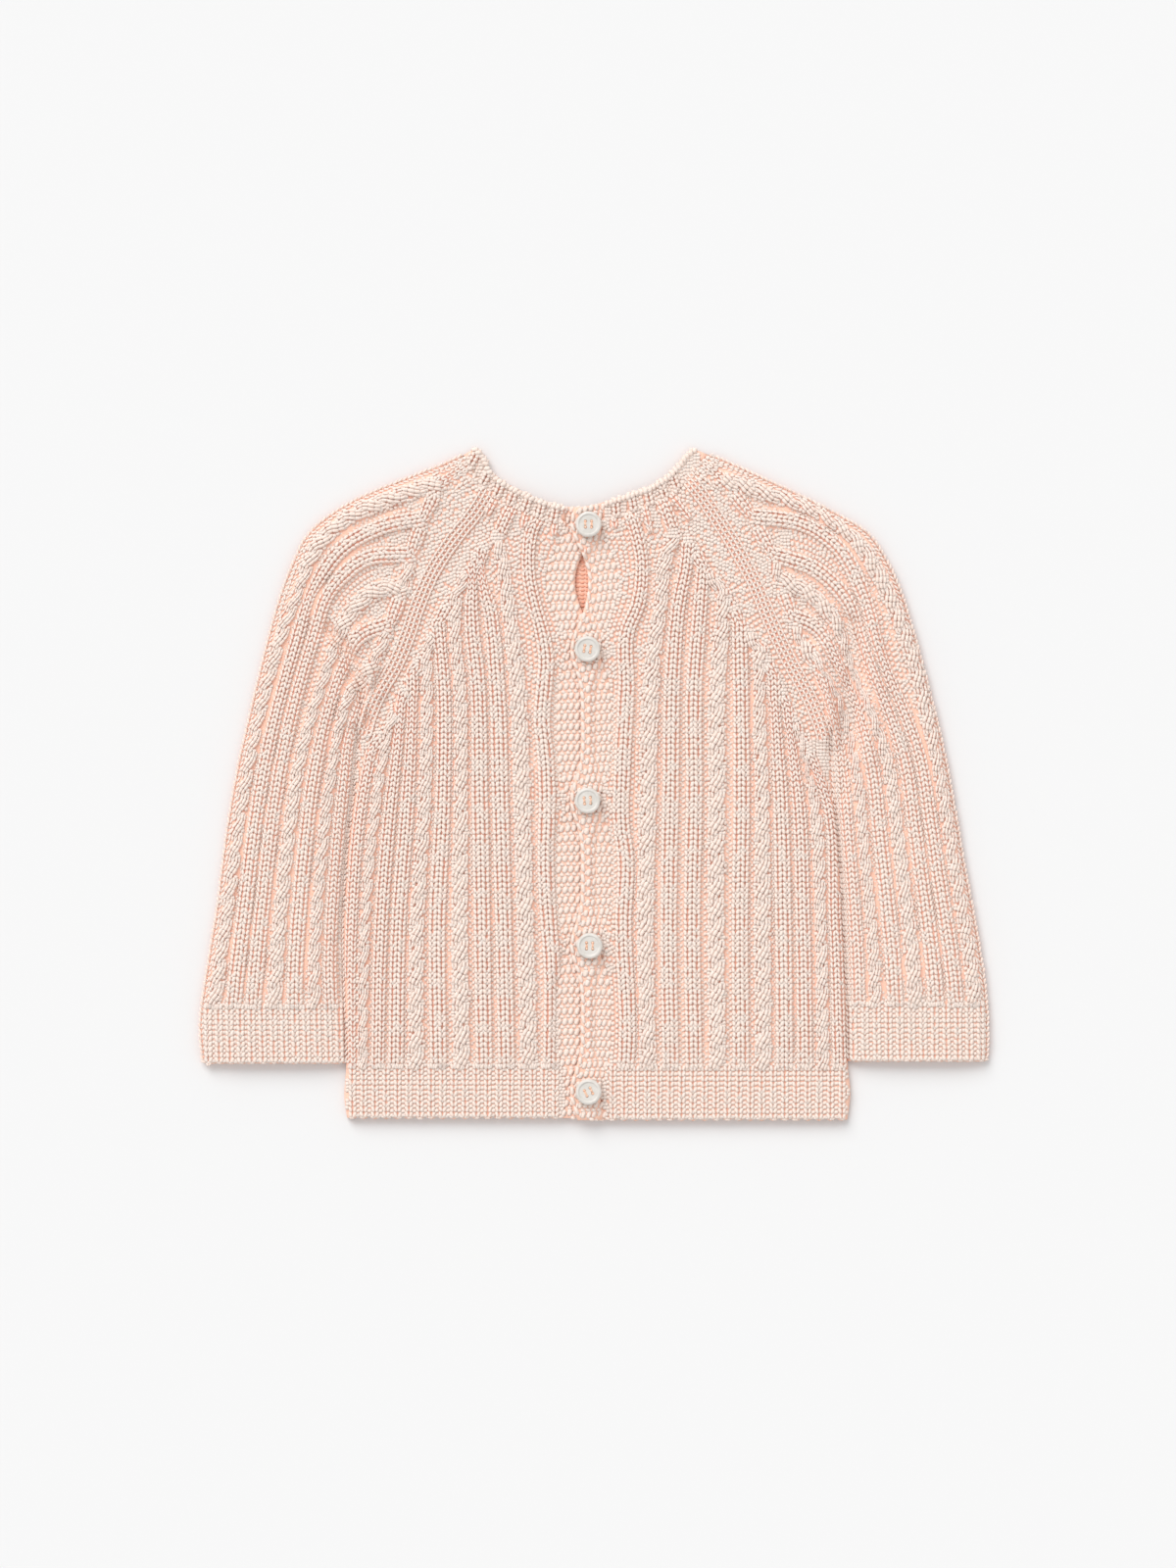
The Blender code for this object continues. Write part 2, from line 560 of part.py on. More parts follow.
def make_sleeve(side):
    """A sleeve, pressed flat: one tube of two layers, open at the cuff and at the raglan."""
    out = OUT[side]
    outer = cut_at(outer_edges[side], below_neck(NECK_DEPTH + SEAM_GAP))
    cuff_y = outer[0][1]
    seam_line = seam(side, SEAM_GAP / 2)
    inner = shifted(sides[side], -out * (SEAM_GAP + CURVE_SLACK))
    inner = np.vstack([(inner[inner[:, 1] > cuff_y][0][0], cuff_y), inner[inner[:, 1] > cuff_y + 1.0][:-1],
                       seam_line[-1]])
    hole = np.vstack([neck_part(outer[-1], seam_line[0], NECK_DEPTH + SEAM_GAP)[:-1], seam_line])
    length = along(hole)[-1]
    hole = point_at(hole, np.concatenate([[0.0], np.linspace(TUBE_WALL, length - TUBE_WALL,
                                                             round(length / 8.0)), [length]]))
    cuff = np.linspace(inner[0], outer[0], 2 * round(np.linalg.norm(outer[0] - inner[0]) / TRIM_PITCH) + 1)
    outer_line, inner_line = spaced(outer, EDGE_STEP), spaced(inner, EDGE_STEP)[::-1]
    outline = np.vstack([outer_line[:-1], hole[:-1], inner_line[:-1], cuff[:-1]])

    def set_in(path, turn):
        line = spaced(shifted(path, turn * TUBE_WALL), EDGE_STEP)
        return line[np.minimum(distance_to(line, cuff), distance_to(line, hole)) > TUBE_WALL + 1.0]

    hollow = np.vstack([cuff[-2], set_in(outer, out), hole[1:-1], set_in(inner, -out)[::-1], cuff[1:-2]])
    first_inner = len(outer_line) + len(hole) - 2
    free = {*range(len(outer_line) - 1), *range(first_inner, first_inner + len(inner_line) - 1)}

    def away(points):
        return np.minimum(distance_to(points, outer), distance_to(points, inner))

    def ceiling(points):
        across = ((away(points) - TUBE_WALL) / 14.0).clip(0.0, 1.0)
        near_seam = (distance_to(points, seam_line) / 30.0).clip(0.0, 1.0)
        return RIM_WALL + SLEEVE_SLOT + SLEEVE_LOFT * across * (0.4 + 0.6 * near_seam)

    def top(points):
        return roll(away(points), ceiling(points) + SLEEVE_WALL + folds(points), EDGE_TOP)

    def under(points):
        return EDGE_UNDER * (1.0 - away(points) / UNDER_TURN).clip(0.0)

    paths = sleeve_paths(side, outer, inner)
    lines = [line for path, (kind, *_) in zip(paths, SLEEVE_RIBS)
             for line in rib_lines(path, kind, SLEEVE_CROWN)]
    lines += [(valley(a, b), 0.0) for a, b in zip(paths, paths[1:])]
    cuff_top = np.linspace(point_at(inner, CUFF_DEPTH - 2.0), point_at(outer, CUFF_DEPTH - 2.0), len(cuff))
    lines += trim_lines(cuff, cuff_top, TRIM_PITCH)
    turns = []
    for path, turn in ((outer, out), (inner, -out)):
        lines.append((spaced(shifted(path, turn * ROLL_INSET), LINE_STEP), 0.0))
        turns.append((close_ended(shifted(path, turn * UNDER_TURN), LINE_STEP), 0.0))

    sheets = [sheet_of(outline, kept_lines(lines, outline), top),
              sheet_of(outline, kept_lines(turns, outline), under),
              sheet_of(hollow, [], ceiling),
              sheet_of(hollow, [], lambda points: np.full(len(points), RIM_WALL))]
    walls = tube_walls(outline, hollow, free, *(rim for _, _, rim in sheets))
    return make_object(f"sleeve_{side}", *joined_sheets(sheets, walls), YARN, YARN_ROUGHNESS)


def band_outline(left_x, right_x, hem_y, hem_xs=()):
    """A button band in plan: two long wavy edges between the hem and the neck edge."""
    left, right = (cut_at(upright(x, 0.0, hem_y, PLACKET_TOP), neck_edge) for x in (left_x, right_x))
    between = neck_edge[(neck_edge[:, 0] > left[-1][0] + 1.0) & (neck_edge[:, 0] < right[-1][0] - 1.0)]
    hem = np.array([(x, hem_y) for x in hem_xs]).reshape(-1, 2)
    return np.vstack([left[::-1], hem, right, spaced(between[::-1], 4.0)]), left, right


def garter_lines(left, right):
    """Ridges across a band, each drawn from its left edge to its right."""
    count = 2 * round(along(left)[-1] / GARTER_PITCH)
    lines = []
    for i, share in enumerate(np.linspace(0.0, 1.0, count + 1)[1:-1]):
        start, end = (point_at(path, share * along(path)[-1]) for path in (left, right))
        across = start + np.array([0.07, 0.4, 0.7, 0.93])[:, None] * (end - start)
        lines.append((across, GARTER_RISE if i % 2 == 0 else 0.0))
    return lines


def under_band_base(points):
    return FRONT_WALL + SEAM_GAP + body_loft(points)


def over_band_base(points):
    """The upper band lies on the lower one, and comes down beside it to the back's level."""
    step = UNDER_BAND_WALL + GARTER_RISE + BAND_CLEAR
    past = (points[:, 0] - under_band_right(points[:, 1]) - OVER_REST) / OVER_SLOPE
    return under_band_base(points) + step * (1.0 - past.clip(0.0, 1.0))


def make_bands():
    """The two garter-stitch bands: the left half's runs under the right half's."""
    outline, left, right = band_outline(under_band_left, under_band_right, LEFT_SIDE[0][1])
    panel("band_left", outline, lambda p: under_band_base(p) + UNDER_BAND_WALL, under_band_base,
          garter_lines(left, right))
    hem_y = RIGHT_SIDE[0][1]
    bend_offsets = (OVER_REST, OVER_REST + OVER_SLOPE)
    outline, left, right = band_outline(over_band_left, over_band_right, hem_y,
                                        [under_band_right(hem_y) + offset for offset in bend_offsets])
    bends = [(upright(under_band_right, offset, hem_y + END_CLEAR, PLACKET_TOP), 0.0)
             for offset in bend_offsets]
    panel("band_right", outline, lambda p: over_band_base(p) + OVER_BAND_WALL, over_band_base,
          garter_lines(left, right), bends)


def make_neckband(side):
    """Half of the neck ribbing, from the band to the fold at the shoulder."""
    out = OUT[side]
    edge_x = under_band_left if side == "left" else over_band_right
    end_line = upright(edge_x, out * SEAM_GAP, 100.0, PLACKET_TOP)
    low_line = below_neck(NECK_DEPTH)
    high_start, low_start = cut_at(end_line, neck_edge)[-1], cut_at(end_line, low_line)[-1]
    outer = outer_edges[side]
    low_end = cut_at(outer, low_line)[-1]
    beyond = out * (neck_edge[:, 0] - high_start[0]) > 1.0
    rest = neck_edge[beyond] if side == "right" else neck_edge[beyond][::-1]
    high = np.vstack([high_start, spaced(rest, NECK_PITCH / 2)])
    low = neck_part(low_start, low_end, NECK_DEPTH)
    outline = np.vstack([low, high[::-1]])

    def base(points):
        past = ((np.abs(points[:, 0]) - 25.0) / 25.0).clip(0.0, 1.0)
        return FRONT_WALL + SEAM_GAP - SHOULDER_DROP * past**2 * (3.0 - 2.0 * past)

    def top(points):
        return roll(distance_to(points, outer), base(points) + NECK_WALL, EDGE_TOP)

    lines = trim_lines(low, high, NECK_PITCH, ends=(0.15, 0.85))
    return panel(f"neckband_{side}", outline, top, base, lines)


def make_button(number, x, y, turn):
    """A turned button with a rim, a dish and four holes, resting on the upper band."""
    radius = BUTTON_WIDTH / 2
    foot, crest = radius - 0.7, radius - 0.5
    profile = [(foot, 0.0), (radius, 0.7), (radius, BUTTON_THICK - 0.8), (crest, BUTTON_THICK - 0.15),
               (crest - BUTTON_RIM / 2, BUTTON_THICK), (crest - BUTTON_RIM, BUTTON_THICK - BUTTON_DISH)]
    round_by = np.linspace(0.0, 2.0 * math.pi, BUTTON_SIDES, endpoint=False)
    disc = np.stack([np.cos(round_by), np.sin(round_by)], axis=1)
    patch = np.array([x, y]) + radius * disc
    rest = (over_band_base(patch) + OVER_BAND_WALL + GARTER_RISE).max() + SEAM_GAP
    points = [(x + r * c, y + r * s, rest + z) for r, z in profile for c, s in disc]
    rings = [[ring * BUTTON_SIDES + i for i in range(BUTTON_SIDES)] for ring in range(len(profile))]
    faces = [rings[0][::-1], rings[-1]]
    for below, above in zip(rings, rings[1:]):
        faces += [(below[i - 1], below[i], above[i], above[i - 1]) for i in range(BUTTON_SIDES)]
    button = make_object(f"button_{number}", points, faces, SHELL, SHELL_ROUGHNESS)
    button.data.polygons.foreach_set("use_smooth", [True] * len(button.data.polygons))

    tool = bmesh.new()
    for index in range(4):
        angle = turn + math.pi / 4 + index * math.pi / 2
        reach = HOLE_SPACING / math.sqrt(2.0)
        place = (x + reach * math.cos(angle), y + reach * math.sin(angle), rest + BUTTON_THICK / 2)
        bmesh.ops.create_cone(tool, cap_ends=True, segments=HOLE_SIDES, radius1=MM * BUTTON_HOLE / 2,
                              radius2=MM * BUTTON_HOLE / 2, depth=MM * 2 * BUTTON_THICK,
                              matrix=Matrix.Translation([MM * c for c in place]))
    mesh = bpy.data.meshes.new(f"holes_{number}")
    tool.to_mesh(mesh)
    tool.free()
    cutter = bpy.data.objects.new(f"holes_{number}", mesh)
    bpy.context.scene.collection.objects.link(cutter)
    cutter.hide_render = True
    drill = button.modifiers.new("holes", "BOOLEAN")
    drill.operation, drill.solver, drill.object = "DIFFERENCE", "EXACT", cutter
    return button


# ---------------------------------------------------------------- start
for existing in list(bpy.data.objects):
    bpy.data.objects.remove(existing)

YARN = (0.86, 0.66, 0.57, 1.0)
YARN_ROUGHNESS = 0.9
SHELL = (0.80, 0.81, 0.77, 1.0)
SHELL_ROUGHNESS = 0.3

make_front()
for side in ("left", "right"):
    make_back(side)
    make_sleeve(side)
    make_neckband(side)
make_bands()
for number, (x, y, degrees) in enumerate(BUTTONS, 1):
    make_button(number, x, y, math.radians(degrees))
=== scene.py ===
import math

import bpy
import numpy as np
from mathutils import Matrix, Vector
from mathutils.geometry import delaunay_2d_cdt


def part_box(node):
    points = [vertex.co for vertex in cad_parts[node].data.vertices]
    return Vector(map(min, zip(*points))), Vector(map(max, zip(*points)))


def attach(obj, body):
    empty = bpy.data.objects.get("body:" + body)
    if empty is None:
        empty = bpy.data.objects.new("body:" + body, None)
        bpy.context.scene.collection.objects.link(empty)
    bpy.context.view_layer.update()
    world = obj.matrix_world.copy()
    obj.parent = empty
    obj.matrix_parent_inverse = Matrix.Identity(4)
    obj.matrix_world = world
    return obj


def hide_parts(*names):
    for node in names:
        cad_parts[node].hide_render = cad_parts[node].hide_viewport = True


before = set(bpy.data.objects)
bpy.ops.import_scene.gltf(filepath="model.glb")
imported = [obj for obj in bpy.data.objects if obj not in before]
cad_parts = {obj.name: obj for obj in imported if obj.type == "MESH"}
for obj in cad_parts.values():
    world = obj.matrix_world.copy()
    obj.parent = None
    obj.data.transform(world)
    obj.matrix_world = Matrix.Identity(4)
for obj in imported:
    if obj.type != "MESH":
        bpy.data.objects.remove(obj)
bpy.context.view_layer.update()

# ================================================================ front
# The front of the body, underneath: one knitted wall of merino, lying flat on the table.
# Only its inside shows, through the neck and the gap between two buttons. It was knitted
# from the hem up and joined to the back at the sides. Tables are in millimetres.
MM = 0.001
FRONT_WALL = 2.4
SEAM_GAP = 0.3          # between layers
JOIN = 0.03             # between pieces that are linked edge to edge
LEFT_SIDE = [(-116.0, -157.2), (-117.2, -149.5), (-116.5, -133.5), (-117.5, -95.0), (-118.0, -64.5),
             (-116.5, -36.5), (-113.0, -4.5), (-110.5, 23.0)]
RIGHT_SIDE = [(119.2, -158.0), (120.6, -145.5), (119.5, -133.5), (119.0, -107.0), (117.5, -71.5),
              (115.5, -36.5), (113.0, -7.0), (111.0, 21.5)]
LEFT_RAGLAN = [(-45.0, 147.0), (-53.5, 130.5), (-67.0, 113.0), (-76.5, 98.0), (-83.0, 82.5),
               (-88.5, 66.5), (-94.0, 54.0), (-101.0, 42.0), (-105.5, 31.5), (-107.5, 24.0)]
RIGHT_RAGLAN = [(40.0, 149.0), (53.5, 131.0), (67.0, 110.0), (76.0, 93.0), (83.5, 75.0),
                (91.5, 58.0), (99.5, 43.5), (105.5, 30.0), (108.0, 22.5)]
NECK_EDGE = [(-55.0, 158.0), (-51.0, 154.0), (-48.5, 147.5), (-43.0, 142.5), (-34.0, 137.5),
             (-25.0, 133.5), (-16.0, 130.8), (-8.0, 129.6), (0.0, 130.8), (8.5, 133.5),
             (17.5, 136.5), (27.0, 140.0), (34.5, 145.0), (39.5, 150.0), (43.0, 155.0), (46.5, 157.5)]
FRONT_NECK = [(-46.0, 131.0), (-24.0, 119.5), (-3.0, 116.0), (17.0, 120.0), (39.0, 132.0)]
NECK_DEPTH = 7.0        # the neck ribbing's
RAGLAN_HALF = 3.1       # half the width of the rib on the raglan seam
FRONT_INSET = 3.1       # the back's rolled sides wrap round it by this much
OUT = {"left": -1.0, "right": 1.0}           # which way is outwards


def along(path):
    return np.concatenate([[0.0], np.cumsum(np.linalg.norm(np.diff(path, axis=0), axis=1))])


def point_at(path, distance):
    length = along(path)
    return np.stack([np.interp(distance, length, path[:, axis]) for axis in range(2)], axis=-1)


def spaced(path, step):
    length = along(path)[-1]
    return point_at(path, np.linspace(0.0, length, max(2, round(length / step) + 1)))


def curve(points, step):
    """A smooth line through the points, with a point about every step."""
    knots = np.array(points, float)
    chord = along(knots)
    tangent = np.gradient(knots, chord, axis=0)
    fine = []
    for i in range(len(knots) - 1):
        span = chord[i + 1] - chord[i]
        s = np.linspace(0.0, 1.0, 12, endpoint=False)[:, None]
        fine.append((2 * s**3 - 3 * s**2 + 1) * knots[i] + (s**3 - 2 * s**2 + s) * span * tangent[i]
                    + (3 * s**2 - 2 * s**3) * knots[i + 1] + (s**3 - s**2) * span * tangent[i + 1])
    return spaced(np.vstack(fine + [knots[-1:]]), step)


def left_of(way):
    return np.stack([-way[:, 1], way[:, 0]], axis=1)


def headings(path):
    """The direction of the path at each of its points, and the direction to its left."""
    heading = np.gradient(path, axis=0)
    heading /= np.linalg.norm(heading, axis=1)[:, None]
    return heading, left_of(heading)


def shifted(path, offset):
    return path + np.asarray(offset)[..., None] * headings(path)[1]


def nearest_on(points, path):
    """For each point, its least distance to the path and how far along that place lies."""
    points = np.atleast_2d(points)
    start, run, level = path[:-1], np.diff(path, axis=0), along(path)
    away, place = np.empty(len(points)), np.empty(len(points))
    for first in range(0, len(points), 4000):
        part = points[first:first + 4000]
        share = (((part[:, None] - start) * run).sum(-1) / (run**2).sum(-1)).clip(0.0, 1.0)
        gaps = np.linalg.norm(part[:, None] - (start + share[..., None] * run), axis=-1)
        best = gaps.argmin(axis=1)
        rows = np.arange(len(part))
        away[first:first + 4000] = gaps[rows, best]
        place[first:first + 4000] = level[best] + share[rows, best] * np.diff(level)[best]
    return away, place


def distance_to(points, path):
    return nearest_on(points, path)[0]


def inside(points, outline):
    x, y = np.atleast_2d(points).T
    count = np.zeros(len(x), int)
    for (x0, y0), (x1, y1) in zip(outline, np.roll(outline, -1, axis=0)):
        if y0 != y1:
            crosses = (y0 > y) != (y1 > y)
            count += crosses & (x < x0 + (y - y0) * (x1 - x0) / (y1 - y0))
    return count % 2 == 1


def cut_at(path, other):
    """The path up to the place where it first meets the other path."""
    for i in range(len(path) - 1):
        for j in range(len(other) - 1):
            a, b = path[i + 1] - path[i], other[j + 1] - other[j]
            turn = a[0] * b[1] - a[1] * b[0]
            if abs(turn) < 1e-9:
                continue
            gap = other[j] - path[i]
            s = (gap[0] * b[1] - gap[1] * b[0]) / turn
            t = (gap[0] * a[1] - gap[1] * a[0]) / turn
            if 0 <= s <= 1 and 0 <= t <= 1:
                return np.vstack([path[:i + 1], path[i] + s * a])
    return path


neck_edge = curve(NECK_EDGE, 2.0)
raglans = {"left": curve(LEFT_RAGLAN, 3.0), "right": curve(RIGHT_RAGLAN, 3.0)}
sides = {"left": curve(LEFT_SIDE, 3.0), "right": curve(RIGHT_SIDE, 3.0)}


def below_neck(depth):
    """The line that runs so far below the neck edge, carried past both shoulders."""
    first, last = neck_edge[0] - neck_edge[1], neck_edge[-1] - neck_edge[-2]
    ends = [neck_edge[0] + 8.0 * first / np.linalg.norm(first),
            neck_edge[-1] + 8.0 * last / np.linalg.norm(last)]
    return shifted(np.vstack([ends[0], neck_edge, ends[1]]), -depth)


def seam(side, offset):
    """The raglan seam, from under the neck ribbing down, moved outwards by the offset."""
    line = shifted(raglans[side], OUT[side] * (RAGLAN_HALF + offset))
    return cut_at(line[::-1], below_neck(NECK_DEPTH + JOIN))[::-1]



def signed_area(outline):
    x, y = outline.T
    return (x * np.roll(y, -1) - y * np.roll(x, -1)).sum() / 2.0


def mesh_piece(name, points, faces, material):
    mesh = bpy.data.meshes.new(name)
    mesh.from_pydata([tuple(MM * float(c) for c in p) for p in points], [], faces)
    mesh.materials.append(material)
    mesh.shade_smooth()
    piece = bpy.data.objects.new(name, mesh)
    bpy.context.scene.collection.objects.link(piece)
    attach(piece, "root")
    return piece


def wall_of(name, outline, top, under, step, material):
    """A closed wall of cloth over the outline: two faces on one grid, and a rim between them."""
    if signed_area(outline) < 0:
        outline = outline[::-1]
    low, high = outline.min(axis=0), outline.max(axis=0)
    grid = np.array([(x + (row % 2) * step / 2, y)
                     for row, y in enumerate(np.arange(low[1], high[1], step))
                     for x in np.arange(low[0], high[0], step)])
    ring = np.vstack([outline, outline[:1]])
    grid = grid[inside(grid, outline)]
    grid = grid[distance_to(grid, ring) > 0.45 * step]      # no slivers beside the rim
    count = len(outline)
    corners = [Vector(p) for p in np.vstack([outline, grid])]
    rim = [(i, (i + 1) % count) for i in range(count)]
    flat, _, faces, _, _, _ = delaunay_2d_cdt(corners, rim, [], 1, 1e-5)
    plan = np.array([tuple(p) for p in flat])
    size = len(plan)
    points = np.vstack([np.column_stack([plan, top(plan)]), np.column_stack([plan, under(plan)])])
    faces = [tuple(face) for face in faces]
    faces += [tuple(size + i for i in reversed(face)) for face in faces]
    faces += [(size + i, size + (i + 1) % count, (i + 1) % count, i) for i in range(count)]
    return mesh_piece(name, points, faces, material)


def wool_group():
    """Colour, roughness and height of merino yarn: heathered, with its plies and loose fibres, and with
    painted shade: a deeper salmon on the low sides and undersides of the loops, where shade falls between
    them.
    """
    group = bpy.data.node_groups.new("merino", "ShaderNodeTree")
    sockets = [("Place", "INPUT", "NodeSocketVector"), ("Lift", "INPUT", "NodeSocketFloat"),
               ("Tint", "INPUT", "NodeSocketFloat"), ("Light", "INPUT", "NodeSocketColor"),
               ("Warm", "INPUT", "NodeSocketColor"), ("Painted Shade", "INPUT", "NodeSocketColor"),
               ("Colour", "OUTPUT", "NodeSocketColor"), ("Roughness", "OUTPUT", "NodeSocketFloat"),
               ("Height", "OUTPUT", "NodeSocketFloat")]
    for name, way, kind in sockets:
        group.interface.new_socket(name, in_out=way, socket_type=kind)
    nodes, link = group.nodes, group.links.new
    start, end = nodes.new("NodeGroupInput"), nodes.new("NodeGroupOutput")

    def noise(scale, detail):
        node = nodes.new("ShaderNodeTexNoise")
        node.inputs["Scale"].default_value = scale
        node.inputs["Detail"].default_value = detail
        link(start.outputs["Place"], node.inputs["Vector"])
        return node.outputs["Fac"]

    def mapped(value, low, high, to_low, to_high):
        node = nodes.new("ShaderNodeMapRange")
        for socket, amount in zip(("From Min", "From Max", "To Min", "To Max"),
                                  (low, high, to_low, to_high)):
            node.inputs[socket].default_value = amount
        link(value, node.inputs["Value"])
        return node.outputs["Result"]

    def blend(share, one, other):
        node = nodes.new("ShaderNodeMix")
        node.data_type = "RGBA"
        link(share, node.inputs["Factor"])
        link(one, node.inputs["A"])
        link(other, node.inputs["B"])
        return node.outputs["Result"]

    def summed(one, other):
        node = nodes.new("ShaderNodeMath")
        link(one, node.inputs[0])
        link(other, node.inputs[1])
        return node.outputs["Value"]

    fleck = mapped(noise(1900.0, 2.0), 0.36, 0.64, 0.0, 1.0)
    heather = blend(summed(fleck, start.outputs["Tint"]), start.outputs["Light"], start.outputs["Warm"])
    # painted shade: the lower a place lies on its loop, the more of the painted shade colour it takes
    painted_shade_share = mapped(start.outputs["Lift"], 0.22, -0.6, 0.0, 1.0)
    link(blend(painted_shade_share, heather, start.outputs["Painted Shade"]), end.inputs["Colour"])
    link(mapped(noise(900.0, 3.0), 0.3, 0.7, 0.82, 0.98), end.inputs["Roughness"])
    link(summed(noise(2600.0, 3.0), mapped(noise(420.0, 2.0), 0.0, 1.0, 0.0, 0.7)), end.inputs["Height"])
    return group


MERINO = wool_group()


def wool(name, light, warm, painted_shade, lift=None, sheen=0.1):
    """A merino material, with the painted shade colour on the loops' low sides. Lift is read from the mesh
    where the yarn is modelled loop by loop; a constant lift, as the cloth's, gives no painted shade.
    """
    material = bpy.data.materials.new(name)
    material.use_nodes = True
    nodes, link = material.node_tree.nodes, material.node_tree.links.new
    shader = nodes["Principled BSDF"]
    yarn = nodes.new("ShaderNodeGroup")
    yarn.node_tree = MERINO
    for socket, colour in (("Light", light), ("Warm", warm), ("Painted Shade", painted_shade)):
        yarn.inputs[socket].default_value = (*colour, 1.0)
    link(nodes.new("ShaderNodeTexCoord").outputs["Object"], yarn.inputs["Place"])
    if lift is None:
        for socket, label in (("Lift", "lift"), ("Tint", "tint")):
            attribute = nodes.new("ShaderNodeAttribute")
            attribute.attribute_name = label
            link(attribute.outputs["Fac"], yarn.inputs[socket])
    else:
        yarn.inputs["Lift"].default_value = lift
    bump = nodes.new("ShaderNodeBump")
    bump.inputs["Strength"].default_value = 0.5
    bump.inputs["Distance"].default_value = 0.0003
    link(yarn.outputs["Height"], bump.inputs["Height"])
    link(yarn.outputs["Colour"], shader.inputs["Base Color"])
    link(yarn.outputs["Roughness"], shader.inputs["Roughness"])
    link(bump.outputs["Normal"], shader.inputs["Normal"])
    shader.inputs["Specular IOR Level"].default_value = 0.15
    shader.inputs["Subsurface Weight"].default_value = 0.3
    shader.inputs["Subsurface Radius"].default_value = (1.0, 0.9, 0.85)
    shader.inputs["Subsurface Scale"].default_value = 0.0008
    shader.inputs["Sheen Weight"].default_value = sheen
    shader.inputs["Sheen Roughness"].default_value = 0.6
    shader.inputs["Sheen Tint"].default_value = (1.0, 0.86, 0.78, 1.0)
    return material


OVAL_SIDES = 5
OVAL_RINGS = 3
FILL_OUT = (1.13, 1.13, 1.0)    # an oval of so few sides is widened, to cover what a round one does
TURN_JITTER = 0.04              # no two loops lie alike: in radians, in millimetres, as a share of
PLACE_JITTER = 0.07             # the size, and as a share of the way from light to warm yarn
SIZE_JITTER = 0.04
TINT_JITTER = 0.10
SLOPE_STEP = 0.4                # how far on each side of a loop its cloth's slope is measured


def loop_tree():
    """Puts an oval of yarn on each point, turned and sized as the point says."""
    tree = bpy.data.node_groups.new("loops", "GeometryNodeTree")
    face = tree.interface.new_socket
    face("Geometry", in_out="INPUT", socket_type="NodeSocketGeometry")
    face("Yarn", in_out="INPUT", socket_type="NodeSocketMaterial")
    face("Geometry", in_out="OUTPUT", socket_type="NodeSocketGeometry")
    nodes, link = tree.nodes, tree.links.new
    start, end = nodes.new("NodeGroupInput"), nodes.new("NodeGroupOutput")
    oval = nodes.new("GeometryNodeMeshUVSphere")
    oval.inputs["Rings"].default_value = OVAL_RINGS
    oval.inputs["Segments"].default_value = OVAL_SIDES
    upright_oval = nodes.new("GeometryNodeTransform")       # turned so that an edge is on top
    upright_oval.inputs["Rotation"].default_value = (0.0, 0.0, math.radians(90.0 / OVAL_SIDES))
    link(oval.outputs["Mesh"], upright_oval.inputs["Geometry"])
    # each corner's height across its oval, stored as lift: the yarn material paints shade by it, deeper
    # salmon low on the loop
    split = nodes.new("ShaderNodeSeparateXYZ")
    link(nodes.new("GeometryNodeInputPosition").outputs["Position"], split.inputs["Vector"])
    mark = nodes.new("GeometryNodeStoreNamedAttribute")
    mark.inputs["Name"].default_value = "lift"
    link(upright_oval.outputs["Geometry"], mark.inputs["Geometry"])
    link(split.outputs["Y"], mark.inputs["Value"])
    lay = nodes.new("GeometryNodeInstanceOnPoints")
    link(start.outputs["Geometry"], lay.inputs["Points"])
    link(mark.outputs["Geometry"], lay.inputs["Instance"])
    for label, socket in (("turn", "Rotation"), ("size", "Scale")):
        read = nodes.new("GeometryNodeInputNamedAttribute")
        read.data_type = "FLOAT_VECTOR"
        read.inputs["Name"].default_value = label
        link(read.outputs["Attribute"], lay.inputs[socket])
    real = nodes.new("GeometryNodeRealizeInstances")
    link(lay.outputs["Instances"], real.inputs["Geometry"])
    soft = nodes.new("GeometryNodeSetShadeSmooth")
    link(real.outputs["Geometry"], soft.inputs["Geometry"])
    paint = nodes.new("GeometryNodeSetMaterial")
    link(soft.outputs["Geometry"], paint.inputs["Geometry"])
    link(start.outputs["Yarn"], paint.inputs["Material"])
    link(paint.outputs["Geometry"], end.inputs["Geometry"])
    return tree


LOOP_TREE = loop_tree()


